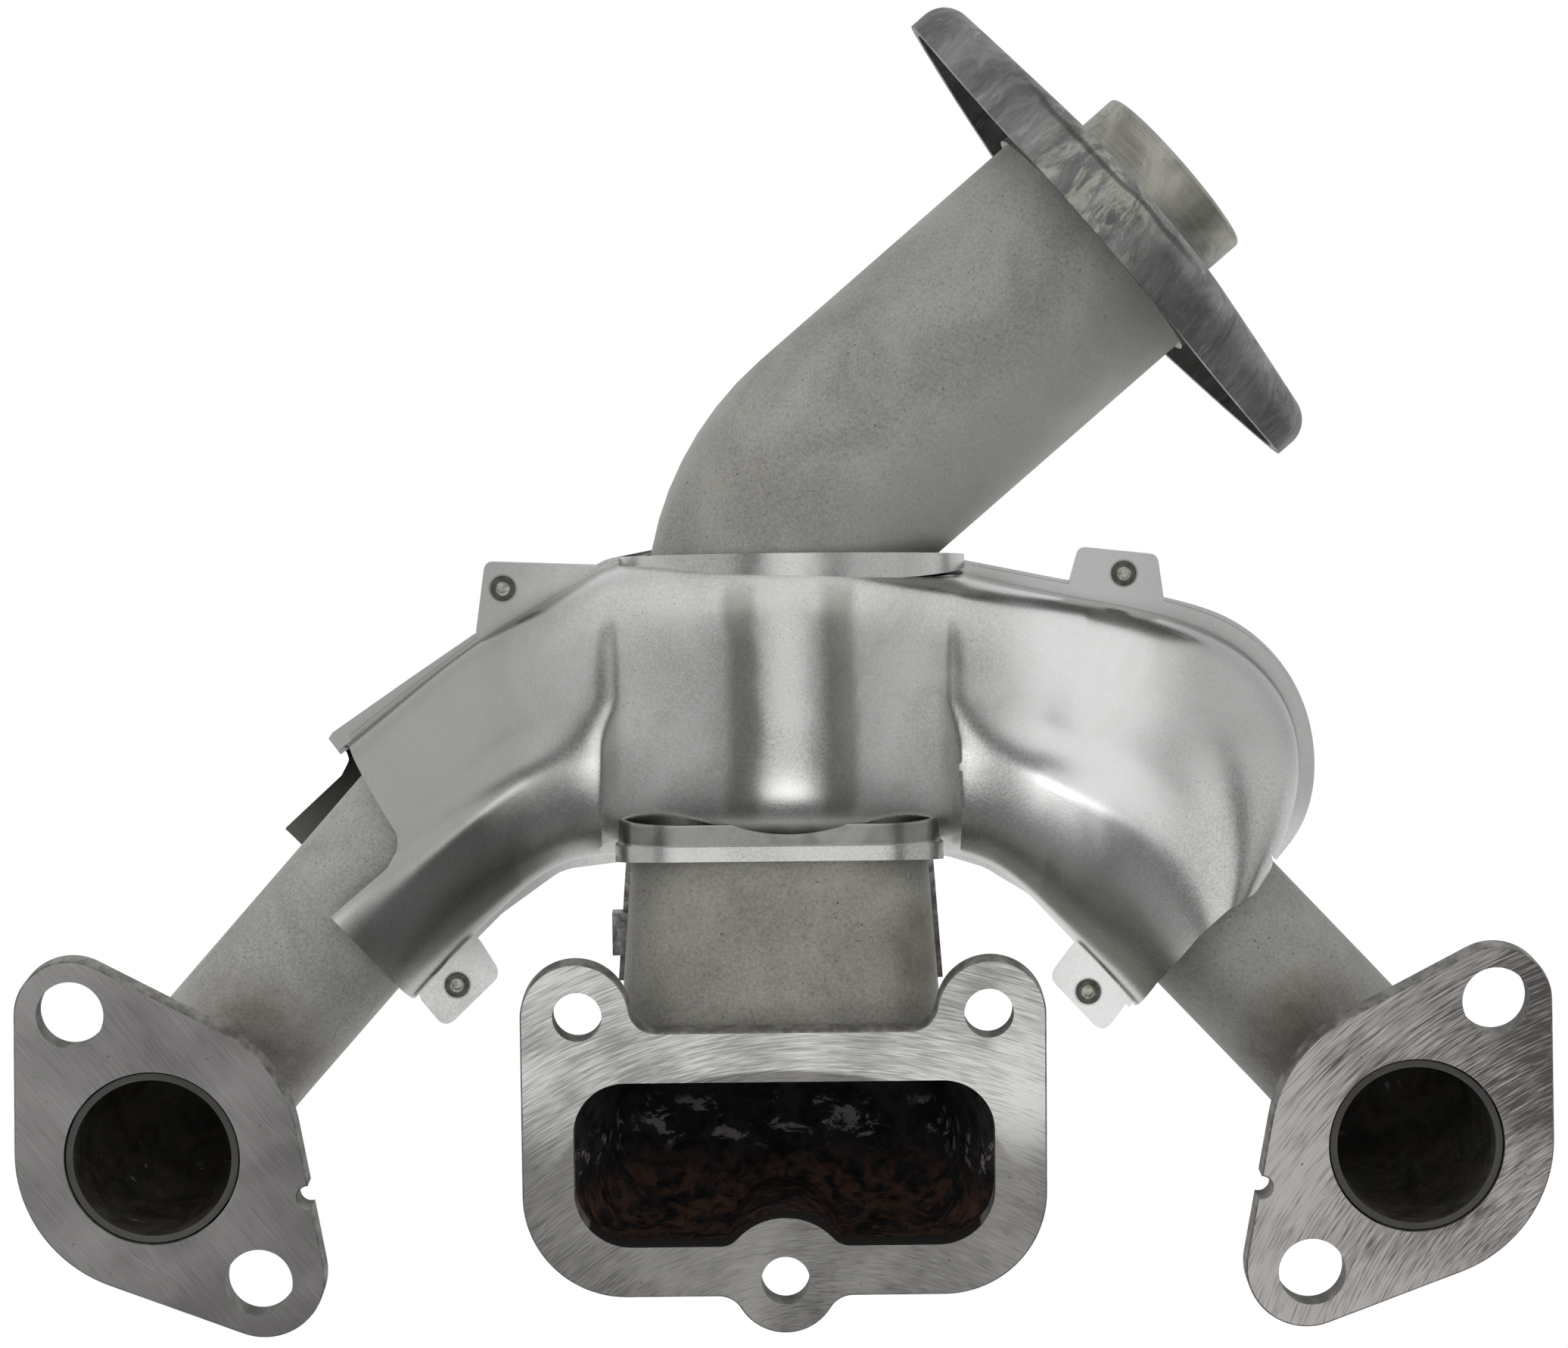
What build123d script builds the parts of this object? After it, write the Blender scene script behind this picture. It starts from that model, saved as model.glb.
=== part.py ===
from build123d import *
import math
import os

os.makedirs("parts", exist_ok=True)

# Frame: X across the cylinder head, +Y away from the head face, +Z up.
# The origin lies on the gasket plane, midway between the two outer ports.

# Head flanges
FLANGE_T = 9.5
PORT_X = 165.0
PORT_HOLE_R = 23.0
BOLT_R = 8.8
UPPER_BOLT = (185.4, 38.2)
LOWER_BOLT = (137.8, -33.3)
CENTER_HALF_W = 68.5
CENTER_TOP = 32.0
CENTER_BOTTOM = -38.3
EAR = (54.2, 36.0, 14.3)
EAR_BOLT = (53.6, 36.3, 6.45)
LUG = (-34.5, 13.7)
LUG_BOLT = (-34.2, 6.35)
PORT_HALF_W = 55.0
PORT_TOP = 18.7
PORT_BOTTOM = -25.0
BUMP_R = 17.0

# Runner tubes
RUNNER_OD = 45.0
RUNNER_WALL = 1.8
RUNNER_Y = 48.5
RUNNER_BEND = 36.0
RUNNER_START = 1.0
LEFT_ELBOW = (-79.9, 96.2)
LEFT_END = (-34.0, 106.0)
RIGHT_ELBOW = (71.2, 99.4)
RIGHT_END = (33.0, 106.5)

# Collector duct
DUCT_WALL = 2.0
DUCT_PIVOT_Y = 9.5
DUCT_PIVOT_Z = 22.7
DUCT_FRONT = 2.0
DUCT_TOP_Z = 134.0
SEAM_Y = 45.0

# Outlet pipe and flange
PIPE_OD = 69.7
PIPE_WALL = 2.0
PIPE_X = -0.5
PIPE_Y = 46.0
PIPE_BEND_Z = 136.5
PIPE_BEND = 53.15
PIPE_STRAIGHT = 102.0
OUTLET_DIR = Vector(0.7601, 0.0698, 0.6464)
DISH_R = 52.0
DISH_END = 64.5
DISH_END_R = 10.5
DISH_DEPTH = 17.3
DISH_CROWN = 1800.0
DISH_RIM_SWEEP = 800.0
DISH_WALL = 3.2
DISH_SHOULDER = 8.0
OUTLET_BOLT = 57.0
OUTLET_BOLT_R = 5.5
SPIGOT_OD = 50.8
SPIGOT_WALL = 3.0
SPIGOT_LENGTH = 14.5
SEAT_R = 29.0
SEAT_DEPTH = 0.3
RELIEF_DEPTH = 0.5
RELIEF_TOP = 0.5

# Heat shield
SHIELD_T = 1.2
SHIELD_SEAM = 47.5
TAB_T = 1.0
RIVETS = {
    "top_left": (-73.5, 143.7),
    "top_right": (92.0, 146.0),
    "bottom_left": (-87.6, 36.6),
    "bottom_right": (82.2, 33.0),
}
RIVET_R = 2.1
RIVET_HEAD_R = 3.3

GAP = 0.05


def head_plane(y):
    """Plane parallel to the head face, seen from the head: local x = X, local y = Z."""
    return Plane(origin=(0, y, 0), x_dir=(1, 0, 0), z_dir=(0, -1, 0))


# ---------------------------------------------------------------- head flanges
for side, name in ((-1, "left"), (1, "right")):
    with BuildPart() as side_flange:
        with BuildSketch(head_plane(FLANGE_T)):
            with Locations((side * 163.7, 0.9)):
                Circle(37.1)
            with Locations((side * 185.5, 38.0)):
                Circle(14.5)
            with Locations((side * 136.5, -32.0)):
                Circle(16.0)
            make_hull()
            with Locations((side * PORT_X, 0)):
                Circle(PORT_HOLE_R, mode=Mode.SUBTRACT)
            with Locations((side * UPPER_BOLT[0], UPPER_BOLT[1])):
                Circle(BOLT_R, mode=Mode.SUBTRACT)
            with Locations((side * LOWER_BOLT[0], LOWER_BOLT[1])):
                Circle(BOLT_R, mode=Mode.SUBTRACT)
            with Locations((side * 124.4, -10.6)):
                Circle(2.9, mode=Mode.SUBTRACT)
        extrude(amount=FLANGE_T)
        chamfer(side_flange.faces().sort_by(Axis.Y)[0].outer_wire().edges(), 0.4)
    side_flange.part.label = f"{name}_flange"
    export_step(side_flange.part, f"parts/{name}_flange.step")

with BuildPart() as center_flange:
    with BuildSketch(head_plane(FLANGE_T)) as center_outline:
        with Locations((0, (CENTER_TOP + CENTER_BOTTOM) / 2)):
            Rectangle(2 * CENTER_HALF_W, CENTER_TOP - CENTER_BOTTOM)
        fillet(center_outline.vertices().group_by(Axis.Y)[0], 27.0)
        for side in (-1, 1):
            with Locations((side * EAR[0], EAR[1])):
                Circle(EAR[2])
            with Locations((side * (CENTER_HALF_W - 5.0), 28.0)):
                Rectangle(10.0, 16.0)
        with Locations((0, LUG[0])):
            Circle(LUG[1])
        inner_corners = center_outline.vertices().filter_by(
            lambda v: abs(v.Y - CENTER_TOP) < 0.05 or (abs(v.X) < 16 and abs(v.Y - CENTER_BOTTOM) < 0.05)
        )
        fillet(inner_corners, 7.0)
        with BuildSketch(mode=Mode.PRIVATE) as port:
            with Locations((0, (PORT_TOP + PORT_BOTTOM) / 2)):
                Rectangle(2 * PORT_HALF_W, PORT_TOP - PORT_BOTTOM)
            fillet(port.vertices().group_by(Axis.Y)[-1], 13.5)
            fillet(port.vertices().group_by(Axis.Y)[0], 15.0)
            with Locations((0, LUG[0])):
                Circle(BUMP_R, mode=Mode.SUBTRACT)
            fillet(port.vertices().filter_by(lambda v: abs(v.X) < 20 and abs(v.Y - PORT_BOTTOM) < 0.05), 6.0)
        add(port.sketch, mode=Mode.SUBTRACT)
        with Locations((-EAR_BOLT[0], EAR_BOLT[1]), (EAR_BOLT[0], EAR_BOLT[1])):
            Circle(EAR_BOLT[2], mode=Mode.SUBTRACT)
        with Locations((0, LUG_BOLT[0])):
            Circle(LUG_BOLT[1], mode=Mode.SUBTRACT)
    extrude(amount=FLANGE_T)
    chamfer(center_flange.faces().sort_by(Axis.Y)[0].outer_wire().edges(), 0.4)
center_flange.part.label = "center_flange"
export_step(center_flange.part, "parts/center_flange.step")


# ---------------------------------------------------------- collector envelope
def duct_section(angle, inset):
    """Rounded section of the duct's elbow at an angle of its turn, 0 at the flange."""
    turn = math.radians(angle)
    share = angle / 90.0
    inner = DUCT_FRONT
    outer = 49.7 + (69.4 - 49.7) * share
    width = 114.0 + (86.0 - 114.0) * share**0.8
    radius = 16.0
    mid = (inner + outer) / 2
    plane = Plane(
        origin=(PIPE_X * share, DUCT_PIVOT_Y + mid * math.sin(turn), DUCT_PIVOT_Z - mid * math.cos(turn)),
        x_dir=(1, 0, 0),
        z_dir=(0, math.cos(turn), math.sin(turn)),
    )
    with BuildSketch(plane) as section:
        RectangleRounded(width - 2 * inset, outer - inner - 2 * inset, radius - inset)
    return section.sketch


def round_section(inset):
    """Nearly round section where the duct meets the outlet pipe."""
    with BuildSketch(Plane.XY.offset(DUCT_TOP_Z)) as section:
        with Locations((PIPE_X, PIPE_Y)):
            RectangleRounded(PIPE_OD - 2 * inset, PIPE_OD - 2 * inset, PIPE_OD / 2 - 1.5 - inset)
    return section.sketch


def duct_solid(inset):
    """Solid envelope of the elbow and the tapering riser above it."""
    with BuildPart() as envelope:
        loft([duct_section(angle, inset) for angle in (0, 30, 60, 90)])
        loft([duct_section(90, inset), round_section(inset)])
        bolt_plane = head_plane(-20.0)
        with BuildSketch(bolt_plane):
            with Locations((0, LUG[0])):
                Circle(BUMP_R - DUCT_WALL + inset)
        extrude(amount=-150.0, mode=Mode.SUBTRACT)
    return envelope.part


duct_outer = duct_solid(0.0)
duct_inner = duct_solid(DUCT_WALL)


def runner_wire(side, elbow, end):
    """Centre line: out of the port, over a quarter bend, up to the elbow, into the collector."""
    with BuildLine() as path:
        FilletPolyline(
            (side * PORT_X, RUNNER_START, 0),
            (side * PORT_X, RUNNER_Y, 0),
            (elbow[0], RUNNER_Y, elbow[1]),
            (end[0], RUNNER_Y, end[1]),
            radius=(RUNNER_BEND, 60.0),
        )
    return path.wires()[0]


def runner_solid(side, elbow, end, radius):
    with BuildPart() as tube:
        with BuildSketch(head_plane(RUNNER_START)):
            with Locations((side * PORT_X, 0)):
                Circle(radius)
        sweep(path=runner_wire(side, elbow, end))
    return tube.part


RUNNERS = {"left": (-1, LEFT_ELBOW, LEFT_END), "right": (1, RIGHT_ELBOW, RIGHT_END)}
runner_outer = {n: runner_solid(*r, RUNNER_OD / 2) for n, r in RUNNERS.items()}
runner_bore = {n: runner_solid(*r, RUNNER_OD / 2 - RUNNER_WALL) for n, r in RUNNERS.items()}

for name in RUNNERS:
    with BuildPart() as runner:
        add(runner_outer[name])
        add(runner_bore[name], mode=Mode.SUBTRACT)
        add(duct_outer, mode=Mode.SUBTRACT)
    kept = runner.part.solids().sort_by(SortBy.VOLUME)[-1]
    runner_part = Part(kept.wrapped)
    runner_part.label = f"{name}_runner"
    export_step(runner_part, f"parts/{name}_runner.step")

with BuildPart() as collector:
    add(duct_outer)
    add(duct_inner, mode=Mode.SUBTRACT)
    for name in RUNNERS:
        add(runner_bore[name], mode=Mode.SUBTRACT)

for keep, name in ((Keep.BOTTOM, "front"), (Keep.TOP, "rear")):
    with BuildPart() as half:
        add(collector.part)
        split(bisect_by=Plane(origin=(0, SEAM_Y, 0), z_dir=(0, 1, 0)), keep=keep)
    half.part.label = f"collector_{name}_shell"
    export_step(half.part, f"parts/collector_{name}_shell.step")

# -------------------------------------------------------- outlet pipe and flange
PIPE_CORNER = Vector(PIPE_X, PIPE_Y, PIPE_BEND_Z + PIPE_BEND * math.tan(math.acos(OUTLET_DIR.Z) / 2))
OUTLET_FACE = PIPE_CORNER + OUTLET_DIR * (PIPE_BEND * math.tan(math.acos(OUTLET_DIR.Z) / 2) + PIPE_STRAIGHT)
OUTLET_PLANE = Plane(origin=OUTLET_FACE, x_dir=(-OUTLET_DIR.Z, 0, OUTLET_DIR.X), z_dir=OUTLET_DIR)


def pipe_solid(radius, start_z):
    """Bent bar along the outlet pipe's axis, a little past the outlet face."""
    with BuildPart() as bar:
        with BuildLine() as axis:
            FilletPolyline(
                (PIPE_X, PIPE_Y, start_z), PIPE_CORNER, OUTLET_FACE + OUTLET_DIR * 2.0, radius=PIPE_BEND
            )
        with BuildSketch(Plane.XY.offset(start_z)):
            with Locations((PIPE_X, PIPE_Y)):
                Circle(radius)
        sweep(path=axis.wires()[0])
    return bar.part


def crown_solid(inset):
    """Long cylinder whose top gives the outlet flange's crowned face."""
    with BuildPart() as crown:
        with BuildSketch(Plane(origin=OUTLET_FACE, x_dir=OUTLET_PLANE.x_dir, z_dir=-OUTLET_PLANE.y_dir)) as arc:
            with Locations((0, -DISH_CROWN)):
                Circle(DISH_CROWN - inset)
        extrude(amount=160.0, both=True)
    return crown.part


def dish_solid(inset, depth):
    """Crowned two-bolt dish with a rounded shoulder, open side down."""
    with BuildPart() as dish:
        with BuildSketch(OUTLET_PLANE.offset(-depth)):
            Circle(DISH_R - inset)
            with Locations((-DISH_END, 0), (DISH_END, 0)):
                Circle(DISH_END_R - inset)
            make_hull()
        extrude(amount=depth + 4.0)
        add(crown_solid(inset), mode=Mode.INTERSECT)
        top = dish.faces().sort_by(lambda f: (f.center() - OUTLET_FACE).dot(OUTLET_DIR))[-1]
        fillet(top.outer_wire().edges(), DISH_SHOULDER - inset)
    return dish.part


dish_cavity = dish_solid(DISH_WALL, DISH_DEPTH + 5.0)

with BuildPart() as rim_sweep:
    with BuildSketch(Plane(origin=OUTLET_FACE, x_dir=OUTLET_PLANE.x_dir, z_dir=-OUTLET_PLANE.y_dir)):
        with Locations((0, DISH_RIM_SWEEP - DISH_DEPTH)):
            Circle(DISH_RIM_SWEEP)
    extrude(amount=160.0, both=True)

with BuildPart() as outlet_flange:
    add(dish_solid(0.0, DISH_DEPTH))
    add(dish_cavity, mode=Mode.SUBTRACT)
    add(rim_sweep.part, mode=Mode.INTERSECT)
    with BuildSketch(OUTLET_PLANE.offset(-SEAT_DEPTH)):
        Circle(SEAT_R)
    extrude(amount=5.0, mode=Mode.SUBTRACT)
    with BuildSketch(OUTLET_PLANE.offset(-15.0)):
        Circle(SPIGOT_OD / 2 - SPIGOT_WALL)
        with Locations((-OUTLET_BOLT, 0), (OUTLET_BOLT, 0)):
            Circle(OUTLET_BOLT_R)
    extrude(amount=30.0, mode=Mode.SUBTRACT)
outlet_flange.part.label = "outlet_flange"
export_step(outlet_flange.part, "parts/outlet_flange.step")

with BuildPart() as outlet_spigot:
    with BuildSketch(OUTLET_PLANE.offset(-SEAT_DEPTH)):
        Circle(SPIGOT_OD / 2)
        Circle(SPIGOT_OD / 2 - SPIGOT_WALL, mode=Mode.SUBTRACT)
    extrude(amount=SEAT_DEPTH + SPIGOT_LENGTH)
    rim = outlet_spigot.faces().sort_by(lambda f: (f.center() - OUTLET_FACE).dot(OUTLET_DIR))[-1]
    fillet(rim.outer_wire().edges(), 1.2)
    with BuildSketch(OUTLET_PLANE.offset(-SEAT_DEPTH)):
        Circle(SPIGOT_OD / 2 + 2.0)
        Circle(SPIGOT_OD / 2 - RELIEF_DEPTH, mode=Mode.SUBTRACT)
    extrude(amount=SEAT_DEPTH + RELIEF_TOP, mode=Mode.SUBTRACT)
outlet_spigot.part.label = "outlet_spigot"
export_step(outlet_spigot.part, "parts/outlet_spigot.step")

pipe_outer = pipe_solid(PIPE_OD / 2, DUCT_TOP_Z)

with BuildPart() as outlet_pipe:
    add(pipe_outer)
    add(pipe_solid(PIPE_OD / 2 - PIPE_WALL, DUCT_TOP_Z), mode=Mode.SUBTRACT)
    add(crown_solid(DISH_WALL + GAP), mode=Mode.INTERSECT)
outlet_pipe.part.label = "outlet_pipe"
export_step(outlet_pipe.part, "parts/outlet_pipe.step")

# ------------------------------------------------------------------- weld beads
with BuildPart() as outlet_flange_weld:
    with BuildSketch(Plane(origin=OUTLET_FACE, x_dir=OUTLET_PLANE.x_dir, z_dir=-OUTLET_PLANE.y_dir)):
        with BuildLine():
            Polyline((34.9, -15.5), (34.9, -2.0), (44.0, -2.0), (44.0, -5.0))
            ThreePointArc((44.0, -5.0), (38.8, -7.6), (36.4, -15.5))
            Line((36.4, -15.5), (34.9, -15.5))
        make_face()
    revolve(axis=Axis(OUTLET_FACE, OUTLET_DIR))
    add(dish_solid(DISH_WALL + GAP, DISH_DEPTH), mode=Mode.INTERSECT)
    add(pipe_outer, mode=Mode.SUBTRACT)
outlet_flange_weld.part.label = "outlet_flange_weld"
export_step(outlet_flange_weld.part, "parts/outlet_flange_weld.step")

with BuildPart() as outlet_pipe_weld:
    with BuildSketch(Plane(origin=(PIPE_X, PIPE_Y, DUCT_TOP_Z), x_dir=(1, 0, 0), z_dir=(0, -1, 0))):
        with Locations((PIPE_OD / 2, 0)):
            Circle(2.4)
    revolve(axis=Axis((PIPE_X, PIPE_Y, 0), (0, 0, 1)))
    add(duct_outer, mode=Mode.SUBTRACT)
    add(pipe_outer, mode=Mode.SUBTRACT)
outlet_pipe_weld.part.label = "outlet_pipe_weld"
export_step(outlet_pipe_weld.part, "parts/outlet_pipe_weld.step")

with BuildPart() as center_flange_weld:
    with BuildSketch(head_plane(FLANGE_T)):
        with Locations((0, DUCT_PIVOT_Z - (DUCT_FRONT + 49.7) / 2)):
            RectangleRounded(118.4, 52.1, 18.2)
            RectangleRounded(115.0, 48.7, 16.5, mode=Mode.SUBTRACT)
        with Locations((0, LUG[0])):
            Circle(BUMP_R - DUCT_WALL - 0.1)
            Circle(BUMP_R - 4.4, mode=Mode.SUBTRACT)
        with Locations((0, -29.2 - 20.0), (0, 17.0 + 20.0)):
            Rectangle(130.0, 40.0, mode=Mode.SUBTRACT)
    extrude(amount=-2.0)
center_flange_weld.part.label = "center_flange_weld"
export_step(center_flange_weld.part, "parts/center_flange_weld.step")

for side, name in ((-1, "left"), (1, "right")):
    with BuildPart() as flange_bead:
        with BuildSketch(Plane(origin=(side * PORT_X, 0, 0), x_dir=(1, 0, 0), z_dir=(0, 0, 1))):
            with BuildLine():
                Polyline((26.0, FLANGE_T), (22.5, FLANGE_T), (22.5, FLANGE_T + 2.8), (23.2, FLANGE_T + 2.8))
                ThreePointArc((23.2, FLANGE_T + 2.8), (24.9, FLANGE_T + 1.7), (26.0, FLANGE_T))
            make_face()
        revolve(axis=Axis((side * PORT_X, 0, 0), (0, 1, 0)))
        add(runner_outer[name], mode=Mode.SUBTRACT)
    flange_bead.part.label = f"{name}_flange_weld"
    export_step(flange_bead.part, f"parts/{name}_flange_weld.step")

    with BuildPart() as collector_bead:
        add(runner_solid(*RUNNERS[name], RUNNER_OD / 2 + 2.6))
        add(duct_solid(-1.9), mode=Mode.INTERSECT)
        add(duct_outer, mode=Mode.SUBTRACT)
        add(runner_outer[name], mode=Mode.SUBTRACT)
    collector_bead.part.label = f"{name}_runner_weld"
    export_step(collector_bead.part, f"parts/{name}_runner_weld.step")

    with BuildPart() as seam_bead:
        add(duct_solid(-1.6))
        with Locations((side * 45.0, SEAM_Y, 57.5)):
            Box(30.0, 3.4, 39.0, mode=Mode.INTERSECT)
        if side < 0:
            with Locations((-42.4, SEAM_Y - 2.5, 51.2)):
                Box(6.0, 6.5, 11.4)
        add(duct_outer, mode=Mode.SUBTRACT)
    seam_bead.part.label = f"collector_seam_weld_{name}"
    export_step(seam_bead.part, f"parts/collector_seam_weld_{name}.step")

# ------------------------------------------------------------------ heat shield
# Each station of the arched shell: top rim (x, z), bottom rim (x, z).
STATIONS = (
    ((-152.0, 74.0), (-131.0, -1.0)),
    ((-135.0, 88.0), (-114.0, 17.0)),
    ((-115.5, 102.6), (-97.0, 35.5)),
    ((-98.0, 116.4), (-82.0, 51.3)),
    ((-81.0, 129.0), (-68.5, 63.5)),
    ((-63.0, 140.0), (-57.5, 70.5)),
    ((-46.0, 147.5), (-46.0, 73.0)),
    ((-24.0, 150.8), (-24.0, 76.0)),
    ((0.0, 151.8), (0.0, 76.5)),
    ((24.0, 150.5), (24.0, 76.0)),
    ((46.0, 146.5), (45.0, 73.0)),
    ((62.0, 143.5), (57.0, 68.0)),
    ((78.0, 140.0), (66.0, 60.5)),
    ((101.0, 135.0), (76.0, 50.0)),
    ((122.0, 126.0), (83.5, 42.0)),
    ((135.5, 110.0), (89.0, 36.0)),
    ((138.0, 90.0), (92.5, 32.0)),
    ((130.5, 68.5), (95.5, 28.0)),
    ((121.0, 50.0), (100.0, 20.0)),
)
SHARES = (0.0, 0.001, 0.006, 0.02, 0.045, 0.09, 0.16, 0.25, 0.35, 0.45)
SHARES = SHARES + tuple(1.0 - share for share in reversed(SHARES))
HUMP_HALF_W = 47.0
HUMP_REACH = 42.5
SHIELD_CLEAR = 1.4


def blend(a, b, width):
    """Smooth minimum of two depths."""
    h = max(0.0, min(1.0, 0.5 + 0.5 * (b - a) / width))
    return b * (1 - h) + a * h - width * h * (1 - h)


def front_reach(x, share):
    """How far the front skin stands off the seam plane, at x and a share of the way up."""
    inside = max(0.0, 1.0 - (abs(x) / HUMP_HALF_W) ** 3)
    hump = PIPE_Y - HUMP_REACH * inside ** (1 / 3)
    slope = max(0.0, share - 0.45) / 0.55
    valley = math.exp(-(((abs(x) - 45.0) / 8.0) ** 2))
    arm = 19.0 + 11.0 * slope * slope * (3 - 2 * slope) + 3.0 * valley * (1 - slope)
    return SHIELD_SEAM - blend(hump, arm, 5.0)


def rear_reach(x, share):
    """The same for the rear skin: a hump round the collector and plain arms."""
    inside = max(0.0, 1.0 - (abs(x) / HUMP_HALF_W) ** 3)
    hump = 39.5 * inside ** (1 / 3)
    return -blend(-hump, -29.0 + 4.0 * share * share, 6.0)


def arch_solid(side, reach, inset):
    """Arched body through every station; side -1 swells toward the head, +1 away from it."""
    with BuildPart() as arch:
        for top, bottom in STATIONS:
            length = math.hypot(top[0] - bottom[0], top[1] - bottom[1])
            dx = (top[0] - bottom[0]) / length
            dz = (top[1] - bottom[1]) / length
            mid_x = (top[0] + bottom[0]) / 2
            power = 3.6 + 2.4 * max(0.0, 1.0 - (mid_x / 75.0) ** 4)
            points = []
            for share in SHARES:
                along = inset + share * (length - 2 * inset)
                rise = max(0.0, 1.0 - abs(2 * share - 1) ** power) ** (1 / power)
                depth = (reach(bottom[0] + dx * along, along / length) - 1.2 * inset) * rise
                points.append((along, -side * depth))
            with BuildSketch(Plane(origin=(bottom[0], SHIELD_SEAM, bottom[1]), x_dir=(dx, 0, dz), z_dir=(dz, 0, -dx))):
                with BuildLine():
                    crest = Spline(*points)
                    Line(crest @ 1, crest @ 0)
                make_face()
        loft()
    return arch.part


def shield_outline(left_end, lip):
    """Outline of a shield half on the seam plane; the left end differs between the halves."""
    with BuildSketch(head_plane(SHIELD_SEAM)) as outline:
        with BuildLine():
            start = Polyline(
                (131.8, 67.0), (117.6, 59.8), (110.2, 53.0), (99.4, 39.0), (93.2, 28.4),
                (77.4, 47.8), (66.2, 59.9), (54.2, 67.3), (43.9, 70.5), (-40.6, 70.0),
                (-58.7, 67.8), (-75.2, 56.0), (-82.2, 49.0), (-98.2, 33.8), *left_end,
                (-80.7 - lip, 130.4 + lip), (-46.0, 150.2 + lip), (-20.0, 153.2 + lip), (12.0, 153.0 + lip),
                (31.0, 151.6 + lip), (49.5, 149.0 + lip), (74.7, 143.8 + lip), (102.0, 138.7 + lip),
            )
            Spline(
                start @ 1, (119.6 + lip, 132.4 + lip), (135.4 + lip, 118.2), (142.0 + lip, 97.5),
                (138.3 + lip, 76.9), start @ 0,
            )
        make_face()
    return outline.sketch


def shield_tabs():
    """The four tabs that carry the clinch rivets, drawn on the seam plane."""
    with BuildSketch(head_plane(SHIELD_SEAM)) as tabs:
        with BuildLine():
            FilletPolyline(
                (-81.3, 129.0), (-78.2, 150.9), (-44.0, 149.5), (-50.0, 138.0), radius=2.5, close=True
            )
        make_face()
        with BuildLine():
            FilletPolyline((76.0, 139.0), (80.0, 153.2), (101.0, 150.9), (103.0, 137.0), radius=2.5, close=True)
        make_face()
        with BuildLine():
            FilletPolyline(
                (-98.8, 34.4), (-91.0, 24.6), (-75.8, 39.2), (-83.4, 52.0), radius=3.5, close=True
            )
        make_face()
        with BuildLine():
            FilletPolyline((93.6, 31.4), (86.2, 21.2), (71.6, 37.0), (80.6, 49.0), radius=3.5, close=True)
        make_face()
        with Locations(*RIVETS.values()):
            Circle(RIVET_R + GAP, mode=Mode.SUBTRACT)
    return tabs.sketch


with BuildSketch(head_plane(SHIELD_SEAM)) as mouth:
    with BuildLine():
        tops = [(top[0], top[1] - 2.0) for top, bottom in STATIONS[:-3]]
        bottoms = [(bottom[0], bottom[1] + 2.0) for top, bottom in reversed(STATIONS)]
        Polyline(*tops, (135.0, 88.0), (128.5, 68.5), (119.5, 50.0), *bottoms, close=True)
    make_face()

top_cut = Plane(origin=(0, 10.0, 156.0), x_dir=(1, 0, 0), z_dir=(0, 0.12, 1))
bottom_cut = Plane(origin=(0, 9.5, 75.5), x_dir=(1, 0, 0), z_dir=(0, 0.136, 1))

with BuildPart() as top_collar:
    with BuildSketch(Plane.XY.offset(146.0)):
        with Locations((3.5, PIPE_Y)):
            Ellipse(46.0, 37.2)
            Ellipse(45.0, 36.2, mode=Mode.SUBTRACT)
    extrude(amount=14.0)
    split(bisect_by=top_cut, keep=Keep.BOTTOM)

with BuildPart() as top_hole:
    with BuildSketch(Plane.XY.offset(146.0)):
        with Locations((3.5, PIPE_Y)):
            Ellipse(45.6, 36.8)
    extrude(amount=14.0)

with BuildPart() as bottom_collar:
    with BuildSketch(Plane.XY.offset(66.0)):
        with Locations((PIPE_X, PIPE_Y)):
            RectangleRounded(85.0, 73.6, 16.0)
            RectangleRounded(83.0, 71.6, 15.0, mode=Mode.SUBTRACT)
    extrude(amount=15.0)
    split(bisect_by=bottom_cut, keep=Keep.TOP)

with BuildPart() as bottom_hole:
    with BuildSketch(Plane.XY.offset(66.0)):
        with Locations((PIPE_X, PIPE_Y)):
            RectangleRounded(84.2, 72.8, 15.6)
    extrude(amount=15.0)

duct_clear = duct_solid(-SHIELD_CLEAR)
pipe_clear = pipe_solid(PIPE_OD / 2 + SHIELD_CLEAR, DUCT_TOP_Z - 4.0)
runner_clear = {n: runner_solid(*r, RUNNER_OD / 2 + SHIELD_CLEAR) for n, r in RUNNERS.items()}

FRONT_END = ((-109.0, 48.4), (-118.8, 60.2), (-103.7, 72.8), (-101.0, 77.7), (-101.0, 81.3), (-115.6, 104.2), (-98.5, 117.4))
REAR_END = (
    (-113.0, 50.0), (-131.2, 71.5), (-135.2, 76.2), (-119.4, 90.8), (-117.0, 95.4),
    (-117.4, 99.0), (-120.9, 103.7), (-119.9, 105.2), (-99.0, 119.6),
)

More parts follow.
